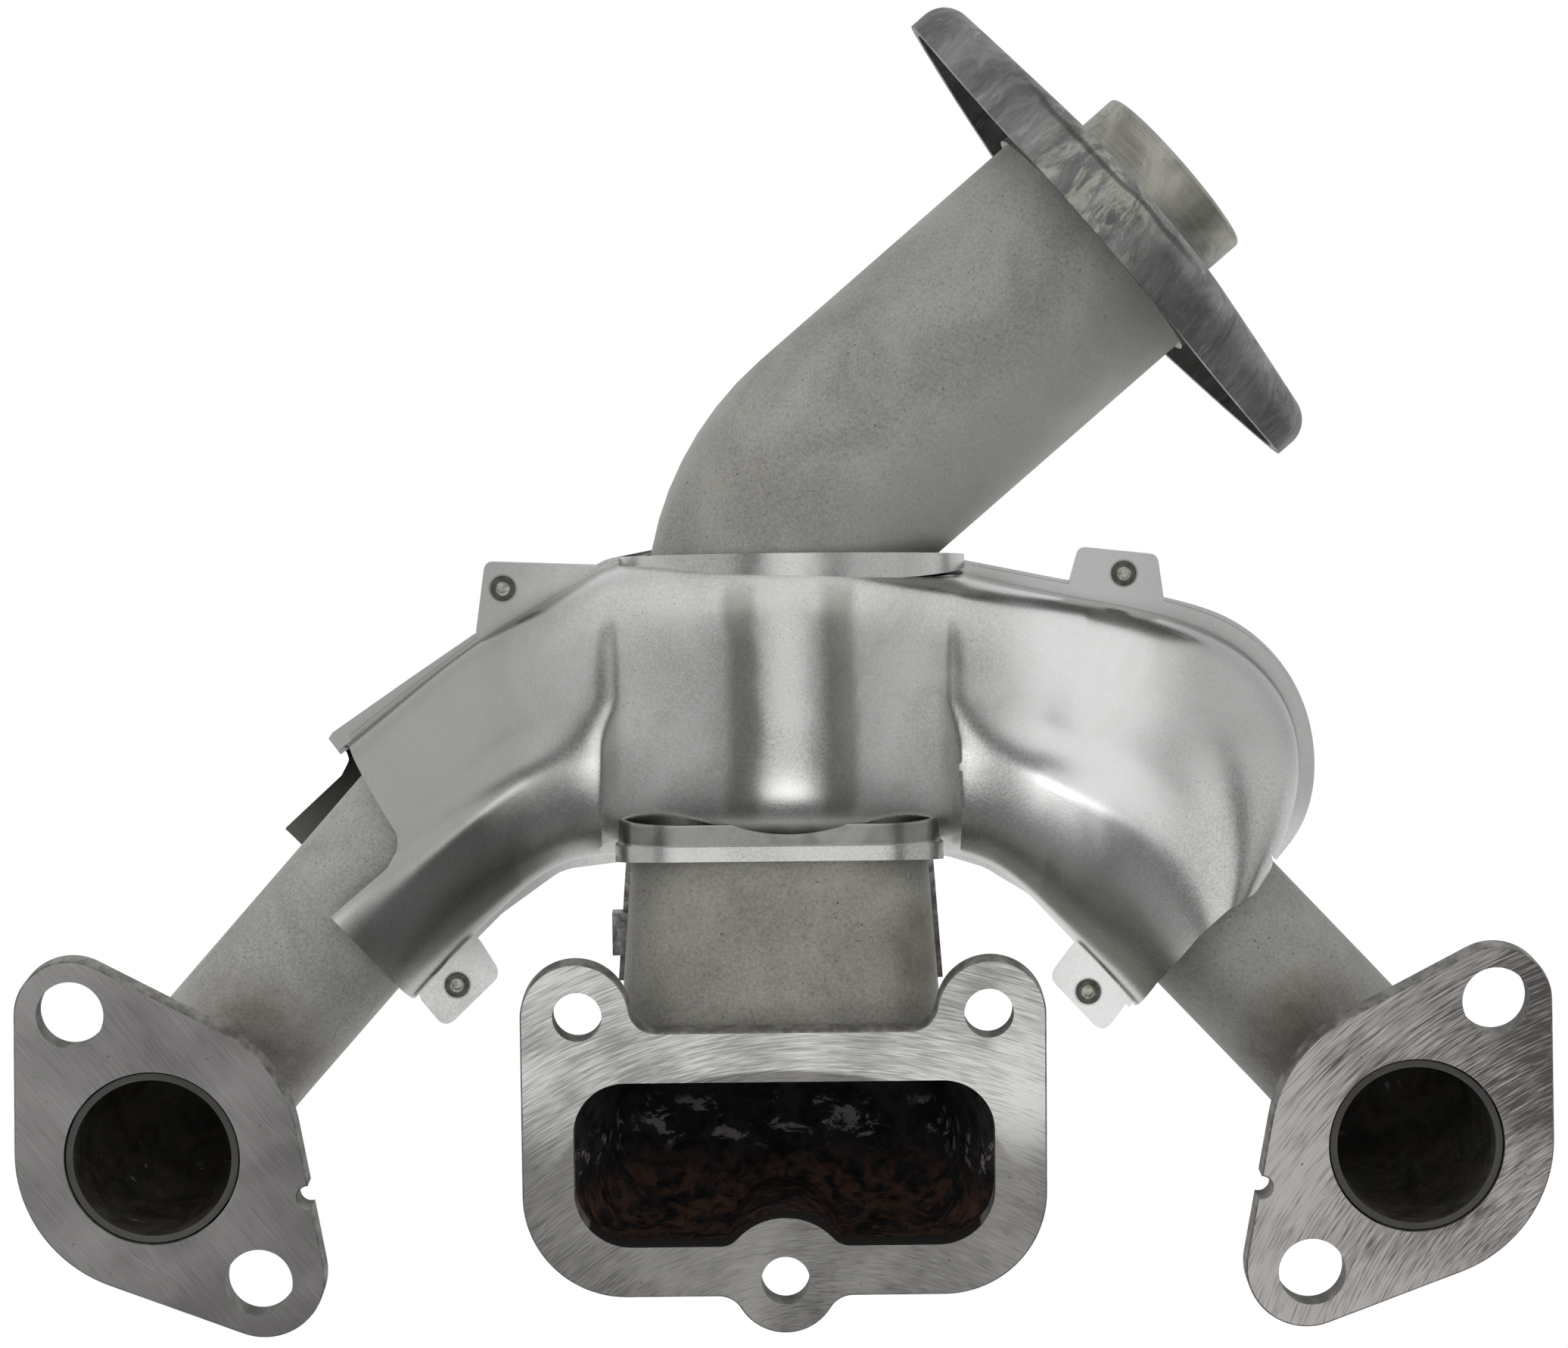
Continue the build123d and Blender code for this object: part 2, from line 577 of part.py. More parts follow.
for side, name, reach, end, lip in ((-1, "front", front_reach, FRONT_END, 0.0), (1, "rear", rear_reach, REAR_END, 0.9)):
    outline = shield_outline(end, lip)
    with BuildPart() as shield:
        add(arch_solid(side, reach, 0.0))
        add(arch_solid(side, reach, SHIELD_T), mode=Mode.SUBTRACT)
        with BuildSketch(head_plane(SHIELD_SEAM)):
            add(outline)
        extrude(amount=-side * 60.0, mode=Mode.INTERSECT)
        with BuildSketch(head_plane(SHIELD_SEAM)):
            add(outline)
            add(mouth.sketch, mode=Mode.SUBTRACT)
            add(shield_tabs())
        extrude(amount=-side * TAB_T)
        add(top_hole.part, mode=Mode.SUBTRACT)
        add(bottom_hole.part, mode=Mode.SUBTRACT)
        add(top_collar.part)
        add(bottom_collar.part)
        with BuildSketch(head_plane(SHIELD_SEAM)):
            with Locations((0, 90.0)):
                Rectangle(400.0, 200.0)
        extrude(amount=-side * 70.0, mode=Mode.INTERSECT)
        add(duct_clear, mode=Mode.SUBTRACT)
        add(pipe_clear, mode=Mode.SUBTRACT)
        for clear in runner_clear.values():
            add(clear, mode=Mode.SUBTRACT)
    kept = shield.part.solids().sort_by(SortBy.VOLUME)[-1]
    shield_part = Part(kept.wrapped)
    shield_part.label = f"heat_shield_{name}"
    export_step(shield_part, f"parts/heat_shield_{name}.step")

for name, (x, z) in RIVETS.items():
    with BuildPart() as rivet:
        with BuildSketch(head_plane(SHIELD_SEAM)):
            with Locations((x, z)):
                Circle(RIVET_R)
        extrude(amount=TAB_T, both=True)
        for side in (-1, 1):
            with BuildSketch(head_plane(SHIELD_SEAM + side * TAB_T)):
                with Locations((x, z)):
                    Circle(RIVET_HEAD_R)
            extrude(amount=-side * 0.7)
        with BuildSketch(head_plane(SHIELD_SEAM - TAB_T - 0.7)):
            with Locations((x, z)):
                Circle(1.3)
        extrude(amount=-0.9, mode=Mode.SUBTRACT)
    rivet.part.label = f"shield_rivet_{name}"
    export_step(rivet.part, f"parts/shield_rivet_{name}.step")
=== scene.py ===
import math

import bmesh
import bpy
import numpy as np
from mathutils import Euler, Matrix, Vector
from mathutils.bvhtree import BVHTree


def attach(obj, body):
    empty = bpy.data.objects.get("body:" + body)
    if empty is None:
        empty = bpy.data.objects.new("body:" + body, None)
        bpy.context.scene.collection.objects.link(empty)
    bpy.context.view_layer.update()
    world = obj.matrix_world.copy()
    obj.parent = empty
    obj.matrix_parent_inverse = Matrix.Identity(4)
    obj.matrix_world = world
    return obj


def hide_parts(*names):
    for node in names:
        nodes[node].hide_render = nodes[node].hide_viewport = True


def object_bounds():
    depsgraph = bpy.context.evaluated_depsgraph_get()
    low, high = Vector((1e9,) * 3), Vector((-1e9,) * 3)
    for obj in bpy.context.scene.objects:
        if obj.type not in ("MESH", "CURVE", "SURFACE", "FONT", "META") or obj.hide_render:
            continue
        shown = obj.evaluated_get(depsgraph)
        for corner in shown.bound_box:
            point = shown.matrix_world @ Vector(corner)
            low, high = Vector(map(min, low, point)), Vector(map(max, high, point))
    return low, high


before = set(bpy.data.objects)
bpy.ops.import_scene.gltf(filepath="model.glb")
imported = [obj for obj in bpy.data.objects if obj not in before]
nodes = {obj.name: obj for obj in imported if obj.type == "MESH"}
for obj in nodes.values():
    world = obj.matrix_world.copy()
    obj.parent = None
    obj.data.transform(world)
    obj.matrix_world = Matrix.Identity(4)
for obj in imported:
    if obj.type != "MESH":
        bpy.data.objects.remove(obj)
cad_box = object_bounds()
MM = 0.001
SCENE = bpy.context.scene
CREASE = math.radians(32)  # folds sharper than this stay sharp under smooth shading
BACKDROP = 1.03  # brightness of the pale floor and of the world behind it

# ------------------------------------------------------------------ node helpers


class Nodes:
    """A node tree with short calls for the arithmetic of masks and shades."""

    def __init__(self, tree):
        self.tree = tree
        tree.nodes.clear()

    def put(self, socket, value):
        """Feeds a socket from another node's output, or sets it to a plain value."""
        if isinstance(value, bpy.types.NodeSocket):
            self.tree.links.new(value, socket)
        else:
            socket.default_value = value

    def new(self, kind, *values):
        """New node with its first inputs fed or set."""
        node = self.tree.nodes.new(kind)
        for socket, value in zip(node.inputs, values):
            self.put(socket, value)
        return node

    def math(self, kind, a, b=0.0):
        node = self.new("ShaderNodeMath", a, b)
        node.operation = kind
        return node.outputs[0]

    def times(self, first, *others):
        """Product of values, such as masks that all have to hold."""
        for other in others:
            first = self.math("MULTIPLY", first, other)
        return first

    def plus(self, a, b):
        return self.math("ADD", a, b)

    def minus(self, a, b):
        return self.math("SUBTRACT", a, b)

    def ramp(self, value, low, high, out_low=0.0, out_high=1.0, smooth=True):
        """Takes low..high to out_low..out_high and holds the ends; high may be below low."""
        node = self.new("ShaderNodeMapRange", value, low, high, out_low, out_high)
        node.interpolation_type = "SMOOTHSTEP" if smooth else "LINEAR"
        return node.outputs[0]

    def band(self, value, start, full, fade, end):
        """1 where the value lies from full to fade, falling to 0 at start and at end."""
        return self.times(self.ramp(value, start, full), self.ramp(value, end, fade))

    def apart(self, a, b=0.0):
        """How far apart two values are."""
        return self.math("ABSOLUTE", self.minus(a, b))

    def split(self, vector):
        """The X, Y and Z of a vector."""
        return self.new("ShaderNodeSeparateXYZ", vector).outputs


class Graph(Nodes):
    """A material's node tree; lengths in its coordinates are millimetres."""

    def __init__(self, name):
        self.material = bpy.data.materials.new(name)
        self.material.use_nodes = True
        super().__init__(self.material.node_tree)
        self.output = self.new("ShaderNodeOutputMaterial")
        self.place = self.new("ShaderNodeTexCoord").outputs["Object"]
        self.mm = self.mapping(scale=(1000, 1000, 1000))

    def mapping(self, scale=(1, 1, 1), rotation=(0, 0, 0), location=(0, 0, 0), vector=None):
        node = self.new("ShaderNodeMapping", vector or self.place)
        node.inputs["Scale"].default_value = scale
        node.inputs["Rotation"].default_value = rotation
        node.inputs["Location"].default_value = location
        return node.outputs["Vector"]

    def noise(self, size, detail=3.0, rough=0.55, distortion=0.0, vector=None,
              stretch=(1, 1, 1), turn=(0, 0, 0)):
        """Noise with features about size millimetres across, 0.5 on average."""
        node = self.new("ShaderNodeTexNoise", self.mapping(stretch, turn, vector=vector or self.mm))
        node.inputs["Scale"].default_value = 1.0 / size
        node.inputs["Detail"].default_value = detail
        node.inputs["Roughness"].default_value = rough
        node.inputs["Distortion"].default_value = distortion
        return node.outputs[0]

    def cells(self, size):
        """Distance to the nearest of points scattered about size millimetres apart."""
        node = self.new("ShaderNodeTexVoronoi", self.mm)
        node.inputs["Scale"].default_value = 1.0 / size
        return node.outputs["Distance"]

    def mix(self, amount, a, b):
        """Colour a where the amount is 0, colour b where it is 1."""
        colour_a, colour_b, colour_out = 6, 7, 2
        node = self.new("ShaderNodeMix")
        node.data_type = "RGBA"
        self.put(node.inputs["Factor"], amount)
        for index, value in ((colour_a, a), (colour_b, b)):
            plain = not isinstance(value, bpy.types.NodeSocket)
            self.put(node.inputs[index], (*value, 1.0) if plain else value)
        return node.outputs[colour_out]

    def bump(self, height, strength, distance, normal=None):
        """Surface relief of distance millimetres, laid over a first relief where one is given."""
        node = self.new("ShaderNodeBump")
        node.inputs["Strength"].default_value = strength
        node.inputs["Distance"].default_value = distance * MM
        self.put(node.inputs["Height"], height)
        if normal is not None:
            self.put(node.inputs["Normal"], normal)
        return node.outputs[0]

    def axes(self):
        """The X, Y and Z of the place on the part, in millimetres."""
        return self.split(self.mm)

    def normal(self):
        """The X, Y and Z of the surface's own outward direction."""
        return self.split(self.new("ShaderNodeNewGeometry").outputs["Normal"])

    def finish(self, colour, rough, relief, metallic, specular=0.5):
        shader = self.new("ShaderNodeBsdfPrincipled")
        self.put(shader.inputs["Base Color"], colour)
        self.put(shader.inputs["Roughness"], rough)
        self.put(shader.inputs["Metallic"], metallic)
        shader.inputs["Specular IOR Level"].default_value = specular
        self.put(shader.inputs["Normal"], relief)
        self.put(self.output.inputs["Surface"], shader.outputs[0])
        return self.material


def scaled(colour, gain):
    return tuple(gain * c for c in colour)


def scratches(g, size, angle, length, density, seed=(0, 0, 0)):
    """Mask of thin straight marks lying in the X-Z plane at an angle from X, 0 to 1."""
    turned = g.mapping((1, 1, 1), (0, angle, 0), seed, g.mm)
    fine = g.noise(size, 2.0, 0.6, 0.15, turned, (1 / length, 1, 1))
    return g.ramp(fine, 0.5 + density, 0.57 + density)


def oval(g, x0, z0, wide, tall):
    """0 at a point of the X-Z plane, rising to 1 on an ellipse with these half axes."""
    x, _, z = g.axes()
    across = g.math("DIVIDE", g.minus(x, x0), wide)
    upward = g.math("DIVIDE", g.minus(z, z0), tall)
    return g.plus(g.math("POWER", across, 2.0), g.math("POWER", upward, 2.0))


def from_point(g, x0, z0):
    """Distance from a point in the X-Z plane, in millimetres."""
    return g.math("SQRT", oval(g, x0, z0, 1.0, 1.0))


# Y of the plane where the two shield halves meet; the rivets' axes in X and Z; the outlet's
# direction and the middle of its flange's face
SEAM = 47.5
RIVETS = ((-73.5, 143.7), (92.0, 146.0), (-87.6, 36.6), (82.2, 33.0))
OUTLET_DIR = (0.7601, 0.0698, 0.6464)
OUTLET_FACE = (95.76, 54.84, 242.97)

# ---------------------------------------------------------------------- materials


def tube_steel(name, dark, light, warm, tint_mask=None, painted_light_side=0.0):
    """Matt oxidised steel tube: fine grain, soft clouds, small dark pits and light specks.

    tint_mask gives the amount of warm heat tint; the last argument paints light on the side
    that faces right and down, lifting its shade; the last 2 mm before the head face are darker.
    """
    g = Graph(name)
    clouds = g.noise(34, 4.0, 0.6, 0.6)
    grain = g.noise(0.9, 3.0, 0.75)
    colour = g.mix(g.ramp(clouds, 0.3, 0.72), dark, light)
    warmth = g.ramp(g.noise(48, 3.0, 0.5, 1.0, turn=(0.4, 0.2, 0)), 0.45, 0.75)
    colour = g.mix(g.times(warmth, 0.55), colour, warm)
    colour = g.mix(g.times(g.ramp(grain, 0.3, 0.75), 0.42), colour, scaled(light, 1.5))
    speckle = g.ramp(g.noise(0.8, 2.0, 0.8), 0.56, 0.68)
    colour = g.mix(g.times(speckle, 0.42), colour, scaled(dark, 0.4))
    pits = g.ramp(g.cells(2.6), 0.16, 0.07)
    sparse = g.ramp(g.noise(9, 2.0), 0.5, 0.68)
    colour = g.mix(g.times(pits, sparse, 0.75), colour, (0.03, 0.028, 0.025))
    marks = g.times(g.ramp(g.noise(1.6, 2.0, 0.6, stretch=(0.35, 1, 1)), 0.66, 0.76),
                   g.ramp(g.noise(16, 2.0), 0.5, 0.62))
    colour = g.mix(g.times(marks, 0.35), colour, (0.42, 0.41, 0.39))
    if tint_mask is not None:
        colour = g.mix(tint_mask(g), colour, (0.1, 0.062, 0.036))
    # painted light on the side of the tube that faces right and down
    if painted_light_side:
        facing = g.normal()
        pale = g.times(g.ramp(g.minus(facing[0], facing[2]), -0.2, 0.9), painted_light_side)
        colour = g.mix(pale, colour, scaled(light, 1.9))
    colour = g.mix(g.times(g.ramp(g.axes()[1], 2.6, 1.6), 0.85), colour, (0.035, 0.033, 0.03))
    rough = g.ramp(clouds, 0.25, 0.75, 0.62, 0.52)
    bump = g.bump(grain, 0.32, 0.12, g.bump(g.noise(5, 3.0, 0.6), 0.18, 0.35))
    return g.finish(colour, rough, bump, 0.5)


def soot(name, warm=0.5):
    """The gas side: sooty brown-black with rusty patches and a few pale dry marks."""
    g = Graph(name)
    clouds = g.ramp(g.noise(11, 4.0, 0.65, 0.8), 0.35, 0.7)
    colour = g.mix(clouds, (0.028, 0.026, 0.022), (0.07, 0.064, 0.054))
    rust = g.times(g.ramp(g.noise(7, 3.0, 0.6, 1.2), 0.5, 0.7), warm)
    colour = g.mix(rust, colour, (0.1, 0.06, 0.042))
    pale = g.times(g.ramp(g.noise(5.5, 4.0, 0.7, 0.4), 0.62, 0.7), g.ramp(g.noise(23, 1.0), 0.5, 0.62))
    colour = g.mix(g.times(pale, 0.8), colour, (0.33, 0.31, 0.29))
    rough = g.ramp(g.noise(3, 3.0), 0.3, 0.7, 0.45, 0.75)
    return g.finish(colour, rough, g.bump(g.noise(1.6, 4.0, 0.7), 0.5, 0.3), 0.15, 0.4)


def port_blacks(name):
    """The wide port's soot: rusty low down near its mouth, with pale patches on its back wall."""
    g = Graph(name)
    _, y, z = g.axes()
    clouds = g.ramp(g.noise(9, 4.0, 0.65, 0.8), 0.35, 0.7)
    colour = g.mix(clouds, (0.01, 0.0095, 0.0105), (0.04, 0.034, 0.034))
    low = g.times(g.ramp(z, -8.0, -19.0), g.ramp(y, 72.0, 50.0))
    rust = g.times(g.ramp(g.noise(6, 3.0, 0.6, 1.2), 0.42, 0.62), low)
    colour = g.mix(g.times(rust, 0.8), colour, (0.13, 0.065, 0.042))
    patches = g.ramp(g.noise(6.0, 5.0, 0.7, 0.5, stretch=(0.6, 1, 1)), 0.55, 0.62)
    pale = g.times(patches, g.band(z, -13.0, -8.0, -2.0, 3.0))
    colour = g.mix(g.times(pale, 0.9), colour, (0.36, 0.33, 0.31))
    rough = g.ramp(g.noise(3, 3.0), 0.3, 0.7, 0.38, 0.7)
    return g.finish(colour, rough, g.bump(g.noise(1.8, 4.0, 0.7), 0.5, 0.35), 0.3, 0.5)


def ground_plate(name, angle, dark, light, streak, arc=None, side_light=None, stroke=26.0, port=False):
    """Ground flange face with directional brushing; the cut sides are rougher and darker.

    The brushing runs straight at an angle from X, or round arc = (x, z, radius) where one is
    given, in marks about stroke / 2 mm long. side_light = (per x, per z, low, high) paints
    light that rises across the face. port is for the plate with the wide port: a painted
    highlight in a band above an oval, and a sooty wall.
    """
    g = Graph(name)
    x, _, z = g.axes()
    along = g.mm
    if arc is not None:
        turn = g.math("ARCTAN2", g.minus(z, arc[1]), g.minus(x, arc[0]))
        along = g.new("ShaderNodeCombineXYZ", g.times(turn, arc[2]), 0.0, from_point(g, *arc[:2])).outputs[0]
    turned = g.mapping((1, 1, 1), (0, angle, 0), vector=along)
    fine = g.noise(0.5, 2.0, 0.6, 0.0, turned, (1 / stroke, 1, 1))
    broad = g.noise(2.6, 2.0, 0.6, 0.0, turned, (1.3 / stroke, 1, 1))
    clouds = g.noise(38, 3.0, 0.5, 0.5)
    shade = g.plus(g.times(clouds, 0.95), g.times(g.minus(fine, 0.5), streak * 1.5))
    shade = g.plus(shade, g.times(g.minus(broad, 0.5), streak * 0.35))
    # painted light: the face's shade rises across it
    if side_light is not None:
        bright = g.ramp(g.plus(g.times(x, side_light[0]), g.times(z, side_light[1])),
                        side_light[2], side_light[3], -0.22, 0.25)
        shade = g.plus(shade, bright)
    colour = g.mix(g.ramp(shade, 0.2, 0.85, smooth=False), dark, light)
    cuts = scratches(g, 0.5, angle + 0.3, 40, 0.17, seed=(31, 0, 7))
    cuts = g.times(cuts, g.ramp(g.noise(30, 2.0), 0.4, 0.6))
    colour = g.mix(g.times(cuts, 0.5), colour, scaled(light, 1.6))
    pits = g.times(g.ramp(g.cells(3.4), 0.14, 0.05), g.ramp(g.noise(12, 2.0), 0.5, 0.6))
    colour = g.mix(g.times(pits, 0.6), colour, (0.04, 0.036, 0.03))
    # painted highlight: a lighter band along the top of the port's oval
    if port:
        painted_highlight_band = g.times(g.ramp(oval(g, 0.0, -9.0, 60.0, 30.5), 0.98, 1.04), g.ramp(z, -8.0, 16.0))
        bright = g.mix(g.ramp(shade, 0.3, 0.7, smooth=False), (0.32, 0.315, 0.3), (0.84, 0.83, 0.79))
        colour = g.mix(g.times(painted_highlight_band, 0.85), colour, bright)
    face = g.ramp(g.normal()[1], -0.85, -0.97)  # 1 on the face that meets the engine
    mottle = g.ramp(g.noise(4, 3.0, 0.6, stretch=(1, 0.3, 1)), 0.35, 0.7)
    cut = g.mix(mottle, (0.1, 0.095, 0.085), (0.26, 0.25, 0.23))
    if port:  # the wall is what lies inside the port's own width and height
        wall = g.times(g.ramp(g.apart(x), 51.5, 51.0), g.band(z, -26.0, -25.6, 15.4, 15.8))
        cut = g.mix(wall, cut, (0.02, 0.018, 0.016))
    colour = g.mix(face, cut, colour)
    rough = g.ramp(face, 0.0, 1.0, 0.62, 0.0)
    rough = g.plus(rough, g.times(g.ramp(fine, 0.25, 0.75, 0.3, 0.48), face))
    height = g.plus(g.times(fine, 0.7), g.times(broad, 0.5))
    bump = g.bump(height, 0.3, 0.08, g.bump(g.noise(60, 1.0), 0.12, 2.0))
    return g.finish(colour, rough, bump, g.ramp(face, 0.0, 1.0, 0.25, 0.92))


def shield_sheet(name):
    """Aluminised stamped sheet: satin, fine crystalline grain, faint stains, scratches, painted shade and
    highlights.
    """
    g = Graph(name)
    clouds = g.noise(42, 4.0, 0.55, 0.8)
    colour = g.mix(g.ramp(clouds, 0.3, 0.72), (0.45, 0.448, 0.428), (0.6, 0.597, 0.575))
    grain = g.noise(0.7, 2.0, 0.7)
    colour = g.mix(g.times(g.ramp(grain, 0.35, 0.7), 0.5), colour, (0.72, 0.72, 0.7))
    flecks = g.times(g.ramp(g.cells(1.5), 0.2, 0.08), g.ramp(g.noise(8, 2.0), 0.42, 0.62))
    colour = g.mix(g.times(flecks, 0.55), colour, (0.2, 0.19, 0.17))
    stain = g.times(g.ramp(g.noise(26, 3.0, 0.6, 1.5, turn=(0, 0.5, 0.3)), 0.55, 0.75), 0.4)
    colour = g.mix(stain, colour, (0.4, 0.39, 0.34))
    cuts = g.math("MAXIMUM", scratches(g, 0.45, 0.9, 30, 0.2),
                  scratches(g, 0.4, -0.5, 26, 0.21, seed=(9, 3, 40)))
    cuts = g.times(cuts, g.ramp(g.noise(22, 1.0), 0.52, 0.64))
    colour = g.mix(g.times(cuts, 0.4), colour, (0.22, 0.21, 0.2))
    x, y, z = g.axes()
    # painted shade: a dark band down each side of the centre hump's bright middle
    off = g.apart(g.plus(x, g.ramp(clouds, 0.3, 0.7, -1.5, 1.5)), 3.0)
    flank = g.times(g.band(off, 6.5, 10.5, 15.0, 19.0), g.band(z, 84.0, 90.0, 143.0, 152.0))
    colour = g.mix(g.times(flank, g.ramp(y, 20.0, 10.0), 0.62), colour, (0.24, 0.235, 0.19))
    # painted shade: the left arm made darker
    left_arm_shade = g.times(g.ramp(g.plus(x, g.times(clouds, 20.0)), -32.0, -66.0), g.ramp(z, 36.0, 54.0), 0.8)
    colour = g.mix(left_arm_shade, colour, (0.29, 0.29, 0.275))
    # painted highlight on the right dome's top, then painted shade on its outer side, rim and upper tab
    colour = g.mix(g.times(g.band(x, 50.0, 72.0, 88.0, 112.0), 0.6), colour, (0.86, 0.86, 0.84))
    flat = g.ramp(g.apart(y, SEAM), 3.5, 2.0)
    rim = g.times(flat, g.ramp(x, 40.0, 60.0), g.ramp(z, 70.0, 90.0))
    outer = g.math("MAXIMUM", g.times(g.ramp(x, 94.0, 114.0), g.ramp(z, 84.0, 108.0)), rim)
    colour = g.mix(g.times(outer, 0.68), colour, (0.32, 0.32, 0.31))
    # the shaded strip between the hump and the collar of the duct
    low = g.times(g.band(z, 79.0, 80.0, 84.0, 86.5), g.ramp(g.apart(x), 47.0, 41.0))
    low = g.times(low, g.ramp(g.noise(12, 2.0), 0.35, 0.6, 0.9, 0.7))
    colour = g.mix(low, colour, (0.15, 0.145, 0.13))
    # painted shade in the folds where the arms leave the hump
    fold_shade = g.times(g.ramp(g.apart(g.apart(x), 45.0), 4.5, 1.0), g.band(z, 88.0, 98.0, 112.0, 134.0))
    colour = g.mix(g.times(fold_shade, 0.4), colour, (0.2, 0.195, 0.17))
    # painted shade in a crease round each rivet
    for rivet in RIVETS:
        rivet_crease_shade = g.times(g.ramp(from_point(g, *rivet), 4.2, 3.0), flat)
        colour = g.mix(g.times(rivet_crease_shade, 0.8), colour, (0.07, 0.068, 0.06))
    rough = g.plus(g.ramp(clouds, 0.25, 0.75, 0.2, 0.26), g.times(grain, 0.07))
    bump = g.bump(grain, 0.16, 0.06, g.bump(g.noise(14, 2.0, 0.5), 0.1, 0.5))
    return g.finish(colour, rough, bump, 1.0)


def along_axis(g, origin, axis):
    """Distance along an axis from an origin."""
    offset = g.mapping(location=[-c for c in origin], vector=g.mm)
    node = g.new("ShaderNodeVectorMath", offset, axis)
    node.operation = "DOT_PRODUCT"
    return node.outputs["Value"]


def outlet_steel(name):
    """Grey mottled stamped steel with bright worn patches, scuffs, and painted shade on a bend line round
    its rim.
    """
    g = Graph(name)
    depth = along_axis(g, OUTLET_FACE, OUTLET_DIR)
    lay = g.mapping((1, 1, 1), (0, 0.86, 0), vector=g.mm)
    mottle = g.noise(9, 5.0, 0.72, 0.5, lay, (0.45, 1, 1))
    colour = g.mix(g.ramp(mottle, 0.3, 0.7), (0.11, 0.111, 0.108), (0.24, 0.241, 0.233))
    streaks = g.times(g.ramp(g.noise(2.2, 4.0, 0.7, 0.3, lay, (0.16, 1, 1)), 0.54, 0.66),
                      g.ramp(g.noise(17, 2.0), 0.42, 0.6))
    colour = g.mix(g.times(streaks, 0.55), colour, (0.42, 0.42, 0.39))
    near = oval(g, 80.0, 246.0, 24.0, 26.0)
    worn = g.times(g.ramp(near, 1.0, 0.1), g.ramp(g.noise(5, 5.0, 0.75, 0.8, lay, (0.4, 1, 1)), 0.44, 0.6))
    colour = g.mix(g.times(worn, 0.62), colour, (0.46, 0.45, 0.37))
    rust = g.times(g.ramp(g.noise(6, 4.0, 0.7, 1.0), 0.63, 0.72), 0.4)
    colour = g.mix(rust, colour, (0.16, 0.11, 0.07))
    # painted shade: a dark line along the bend round the rim, with a matching bump
    wavy = g.plus(depth, g.ramp(g.noise(30, 2.0), 0.3, 0.7, -0.8, 0.8))
    bend = g.times(g.band(wavy, -4.4, -3.3, -3.0, -2.2), g.ramp(near, 2.2, 1.0))
    colour = g.mix(g.times(bend, 0.72), colour, (0.05, 0.05, 0.045))
    rough = g.ramp(mottle, 0.3, 0.7, 0.5, 0.34)
    bump = g.bump(g.noise(2.4, 4.0, 0.7), 0.4, 0.25, g.bump(mottle, 0.4, 0.8, g.bump(bend, 0.6, -0.8)))
    return g.finish(colour, rough, bump, 0.85)


def turned_steel(name, origin, axis):
    """Machined ring: fine turning marks round an axis."""
    g = Graph(name)
    depth = along_axis(g, origin, axis)
    rings = g.new("ShaderNodeCombineXYZ", g.times(depth, 2.6), g.noise(9, 1.0)).outputs[0]
    lathe = g.noise(1.0, 3.0, 0.7, 0.0, rings)
    clouds = g.noise(13, 4.0, 0.6, 0.7)
    colour = g.mix(g.ramp(clouds, 0.3, 0.7), (0.22, 0.215, 0.185), (0.4, 0.39, 0.34))
    colour = g.mix(g.times(g.ramp(lathe, 0.4, 0.7), 0.3), colour, (0.5, 0.49, 0.44))
    spots = g.times(g.ramp(g.cells(1.9), 0.16, 0.06), g.ramp(g.noise(6, 2.0), 0.46, 0.6))
    colour = g.mix(g.times(spots, 0.7), colour, (0.04, 0.038, 0.034))
    rough = g.ramp(clouds, 0.3, 0.7, 0.5, 0.38)
    return g.finish(colour, rough, g.bump(lathe, 0.35, 0.12, g.bump(g.noise(1.2, 3.0), 0.2, 0.1)), 0.9)


def weld_steel(name):
    """Rough bright weld metal with warm heat patches."""
    g = Graph(name)
    clouds = g.noise(4, 4.0, 0.7, 0.6)
    colour = g.mix(g.ramp(clouds, 0.3, 0.7), (0.13, 0.125, 0.12), (0.4, 0.395, 0.385))
    heat = g.times(g.ramp(g.noise(6, 2.0, 0.6, 1.0), 0.56, 0.7), 0.6)
    colour = g.mix(heat, colour, (0.16, 0.1, 0.06))
    rough = g.ramp(clouds, 0.3, 0.7, 0.52, 0.34)
    return g.finish(colour, rough, g.bump(g.noise(1.1, 4.0, 0.7), 0.5, 0.25), 0.85)


def rivet_steel(name):
    """Pale clinch rivets with a dark ring round each."""
    g = Graph(name)
    clouds = g.noise(1.6, 3.0, 0.6, 0.4)
    colour = g.mix(g.ramp(clouds, 0.3, 0.7), (0.24, 0.24, 0.2), (0.5, 0.49, 0.43))
    out = from_point(g, *RIVETS[0])
    for rivet in RIVETS[1:]:
        out = g.math("MINIMUM", out, from_point(g, *rivet))
    colour = g.mix(g.times(g.ramp(out, 1.5, 2.1), 0.88), colour, (0.05, 0.048, 0.04))
    rough = g.ramp(clouds, 0.3, 0.7, 0.5, 0.34)
    return g.finish(colour, rough, g.bump(g.noise(0.6, 3.0), 0.35, 0.08), 0.95)


def heat_tint(x0, z0, reach):
    """A warm patch round a point of the X-Z plane, for the heated metal beside a weld."""

    def mask(g):
        near = oval(g, x0, z0, reach, reach)
        return g.times(g.ramp(near, 1.0, 0.1), g.noise(5, 3.0), 0.75)

    return mask


TUBE = ((0.235, 0.23, 0.212), (0.34, 0.333, 0.308), (0.31, 0.292, 0.25))
